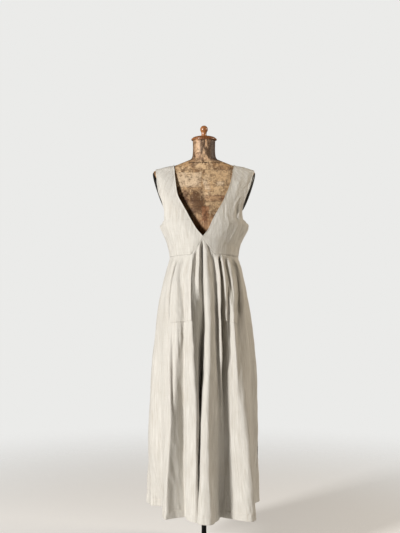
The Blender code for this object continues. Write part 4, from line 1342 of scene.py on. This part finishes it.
def addStand():
    thick = stand["plateThickness"]
    half = thick / 2
    profile = [(stand["plate"] - half, 0)] + arc(stand["plate"] - half, half, half, -60, 60, 10)
    profile += [
        (stand["plate"] - thick, thick),
        (stand["collar"] + 0.010, thick + 0.003),
        (stand["collar"] + 0.003, thick + 0.006),
        (stand["collar"], thick + 0.010),
        (stand["collar"], stand["collarHeight"] - 0.002),
        (stand["collar"] - 0.0006, stand["collarHeight"] - 0.0006),
        (stand["collar"] - 0.002, stand["collarHeight"]),
    ]
    paint = blackFinish("blackStandPaint", 0.34, 150.0)
    dress(turned("standBase", profile, stand["plateSides"], paint), "stand_base")
    top = form["bottom"] - 2 * form["gap"] - form["boardThickness"]
    flange = top - stand["flangeThickness"]
    profile = [
        (stand["pole"], stand["collarHeight"] + form["gap"]),
        (stand["pole"], flange - 0.020),
        (stand["pole"] + 0.003, flange - 0.0195),
        (stand["pole"] + 0.004, flange - 0.018),
        (stand["pole"] + 0.004, flange - 0.002),
        (stand["flange"] - 0.001, flange),
        (stand["flange"], flange + 0.001),
        (stand["flange"], top),
    ]
    dress(turned("standPole", profile, stand["poleSides"], paint), "stand_pole")


def addFloor():
    glow = (*studio["floorGlow"], 1)
    finish = Finish("floor", Roughness=0.85, Emission_Color=glow, Emission_Strength=1.0)
    x, y, _ = finish.parts(finish.here())
    away = finish.maths("SQRT", x * x + y * y)
    grain = finish.noise(finish.here(), 3.0, 3.0)
    colour = finish.mix(grain * 0.2, studio["floorColour"], studio["floorGrain"])
    material = finish.surface(Base_Color=colour)
    clear = finish.tree.nodes.new("ShaderNodeBsdfTransparent")
    mixed = finish.tree.nodes.new("ShaderNodeMixShader")
    output = finish.tree.nodes["Material Output"]
    radius, sides = studio["floorRadius"], studio["floorSides"]
    finish.feed(mixed.inputs[0], finish.rise(away, studio["floorFade"], radius * 0.9))
    finish.tree.links.new(finish.shader.outputs[0], mixed.inputs[1])
    finish.tree.links.new(clear.outputs[0], mixed.inputs[2])
    finish.tree.links.new(mixed.outputs[0], output.inputs["Surface"])
    turns = [tau * k / sides for k in range(sides)]
    ring = [(radius * math.cos(turn), radius * math.sin(turn), 0) for turn in turns]
    mesh = bpy.data.meshes.new("floor")
    mesh.from_pydata(ring, [], [tuple(range(sides))])
    item = linkObject("floor", mesh, material, smooth=False)
    item.location.z = -0.0005


# Stitches

stitches = {
    "pitch": 0.0034,
    "length": 0.0024,
    "radius": 0.00026,
    "colour": (0.80, 0.74, 0.64),
    "darkShare": 0.86,
}


def stitchTree():
    # Short stitches set end to end along an edge of points
    tree = bpy.data.node_groups.new("stitchRow", "GeometryNodeTree")
    sockets = {
        "Geometry": "NodeSocketGeometry",
        "Pitch": "NodeSocketFloat",
        "Length": "NodeSocketFloat",
        "Radius": "NodeSocketFloat",
        "Thread": "NodeSocketMaterial",
    }
    for name, kind in sockets.items():
        tree.interface.new_socket(name, in_out="INPUT", socket_type=kind)
    tree.interface.new_socket("Geometry", in_out="OUTPUT", socket_type="NodeSocketGeometry")
    new = tree.nodes.new
    link = tree.links.new
    given = new("NodeGroupInput")
    made = new("NodeGroupOutput")
    curve = new("GeometryNodeMeshToCurve")
    spaced = new("GeometryNodeResampleCurve")
    spaced.mode = "LENGTH"
    bead = new("GeometryNodeMeshUVSphere")
    bead.inputs["Segments"].default_value = 6
    bead.inputs["Rings"].default_value = 4
    bead.inputs["Radius"].default_value = 1
    sizes = new("ShaderNodeCombineXYZ")
    half = new("ShaderNodeMath")
    half.operation = "MULTIPLY"
    half.inputs[1].default_value = 0.5
    shaped = new("GeometryNodeTransform")
    tangent = new("GeometryNodeInputTangent")
    aimed = new("FunctionNodeAlignRotationToVector")
    aimed.axis = "X"
    placed = new("GeometryNodeInstanceOnPoints")
    real = new("GeometryNodeRealizeInstances")
    painted = new("GeometryNodeSetMaterial")
    link(given.outputs["Geometry"], curve.inputs["Mesh"])
    link(curve.outputs["Curve"], spaced.inputs["Curve"])
    link(given.outputs["Pitch"], spaced.inputs["Length"])
    link(given.outputs["Length"], half.inputs[0])
    link(half.outputs[0], sizes.inputs["X"])
    link(given.outputs["Radius"], sizes.inputs["Y"])
    link(given.outputs["Radius"], sizes.inputs["Z"])
    link(bead.outputs["Mesh"], shaped.inputs["Geometry"])
    link(sizes.outputs[0], shaped.inputs["Scale"])
    link(tangent.outputs[0], aimed.inputs["Vector"])
    link(spaced.outputs["Curve"], placed.inputs["Points"])
    link(shaped.outputs["Geometry"], placed.inputs["Instance"])
    link(aimed.outputs[0], placed.inputs["Rotation"])
    link(placed.outputs["Instances"], real.inputs["Geometry"])
    link(real.outputs["Geometry"], painted.inputs["Geometry"])
    link(given.outputs["Thread"], painted.inputs["Material"])
    link(painted.outputs["Geometry"], made.inputs["Geometry"])
    return tree


def threadFinish():
    finish = Finish("sewingThread", Roughness=0.7, Sheen_Weight=0.2)
    tone = finish.noise(finish.here(), 900.0, 2.0)
    dark = tuple(value * stitches["darkShare"] for value in stitches["colour"])
    colour = finish.mix(tone, dark, stitches["colour"])
    return finish.surface(Base_Color=colour)


def sewRows(name, rows):
    # One mesh of all the stitches along these lines of points
    vertices = []
    edges = []
    for row in rows:
        start = len(vertices)
        vertices += np.asarray(row).tolist()
        edges += [(start + k, start + k + 1) for k in range(len(row) - 1)]
    mesh = bpy.data.meshes.new(name)
    mesh.from_pydata(vertices, edges, [])
    item = linkObject(name, mesh, thread, smooth=False)
    modifier = item.modifiers.new("stitches", "NODES")
    modifier.node_group = stitchRow
    wanted = {
        "Pitch": stitches["pitch"],
        "Length": stitches["length"],
        "Radius": stitches["radius"],
        "Thread": thread,
    }
    for socket in stitchRow.interface.items_tree:
        if socket.in_out == "INPUT" and socket.name in wanted:
            modifier[socket.identifier] = wanted[socket.name]
    bpy.context.view_layer.update()
    ready = item.evaluated_get(bpy.context.evaluated_depsgraph_get())
    plain = bpy.data.meshes.new_from_object(ready)
    item.modifiers.clear()
    item.data = plain
    plain.shade_smooth()
    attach(item, "root")


# Cut sizes of the cloth pieces, flat: width, length and area in metres


def sheetOf(piece, node):
    dress(piece, node)


def report(name, cloth):
    points = cloth.laid()
    cross = np.cross(points[1:, :-1] - points[:-1, :-1], points[:-1, 1:] - points[:-1, :-1])
    area = np.linalg.norm(cross, axis=2).sum()
    widest, longest = cloth.fromStart[-1].max(), cloth.fromTop[:, -1].max()
    print(name, "widest", round(widest, 3), "longest", round(longest, 3), "area", round(area, 4))


addCamera()
addWorld()
addLight("key")
addLight("side")
addFloor()
print("studio ready")

body = addForm()
addArmPlates()
addNeckCap()
addStand()
print("form and stand ready")

formSurface = surfaceOf(body)
stitchRow = stitchTree()
thread = threadFinish()
linenCloth = linenFinish("linen")
skirtFront, skirtBack = addSkirt()
skirtPieces = (("skirtFront", skirtFront, "skirt_front"), ("skirtBack", skirtBack, "skirt_back"))
for name, cloth, node in skirtPieces:
    report(name, cloth)
    wall = clothWall(name, cloth, skirt["thickness"], linenCloth)
    sheetOf(wall, node)
    hem = cloth.line(cloth.fromFoot, skirt["hemTurnUp"], False, skirt["thickness"] / 2)
    sewRows(f"{name}HemStitches", [hem])
print("skirt ready")

bodiceParts = addBodice(formSurface)
for (face, side), cloth in bodiceParts.items():
    name = f"bodice{face.capitalize()}{side.capitalize()}"
    node = f"bodice_{face}_{side}"
    report(name, cloth)
    wall = clothWall(name, cloth, bodice["thickness"], linenCloth)
    sheetOf(wall, node)
    lift = bodice["thickness"] / 2
    inset = bodice["edgeTurn"] - bodice["grooveStep"]
    up = cloth.down[0] - bodice["stitchStart"]
    neckEdge = cloth.line(cloth.fromStart, inset, True, lift)[up > bodice["neckStart"][face]]
    armEdge = cloth.line(cloth.fromEnd, inset, True, lift)[up > bodice["armholeStart"]]
    aboveWaist = cloth.line(cloth.fromTop, bodice["waistStitches"], False, lift)
    sewRows(f"{name}Stitches", [neckEdge, armEdge, aboveWaist])
print("bodice ready")

for pocket in pocketTable:
    cloth = pocketCloth(pocket, skirtFront)
    name = f"pocket{pocket.name.capitalize()}"
    node = f"pocket_{pocket.name}"
    report(name, cloth)
    wall = clothWall(name, cloth, pockets["thickness"], linenCloth)
    sheetOf(wall, node)
    lift = pockets["thickness"] / 2
    inset = pockets["edge"] - pockets["stitchStep"]
    mouth, inner = pocketSides(pocket, cloth)
    rows = [
        cloth.line(cloth.fromFoot, inset, False, lift),
        cloth.line(inner, inset, True, lift),
        cloth.line(mouth, pockets["mouthStitches"], True, lift),
    ]
    sewRows(f"{name}Stitches", rows)
print("pockets ready")
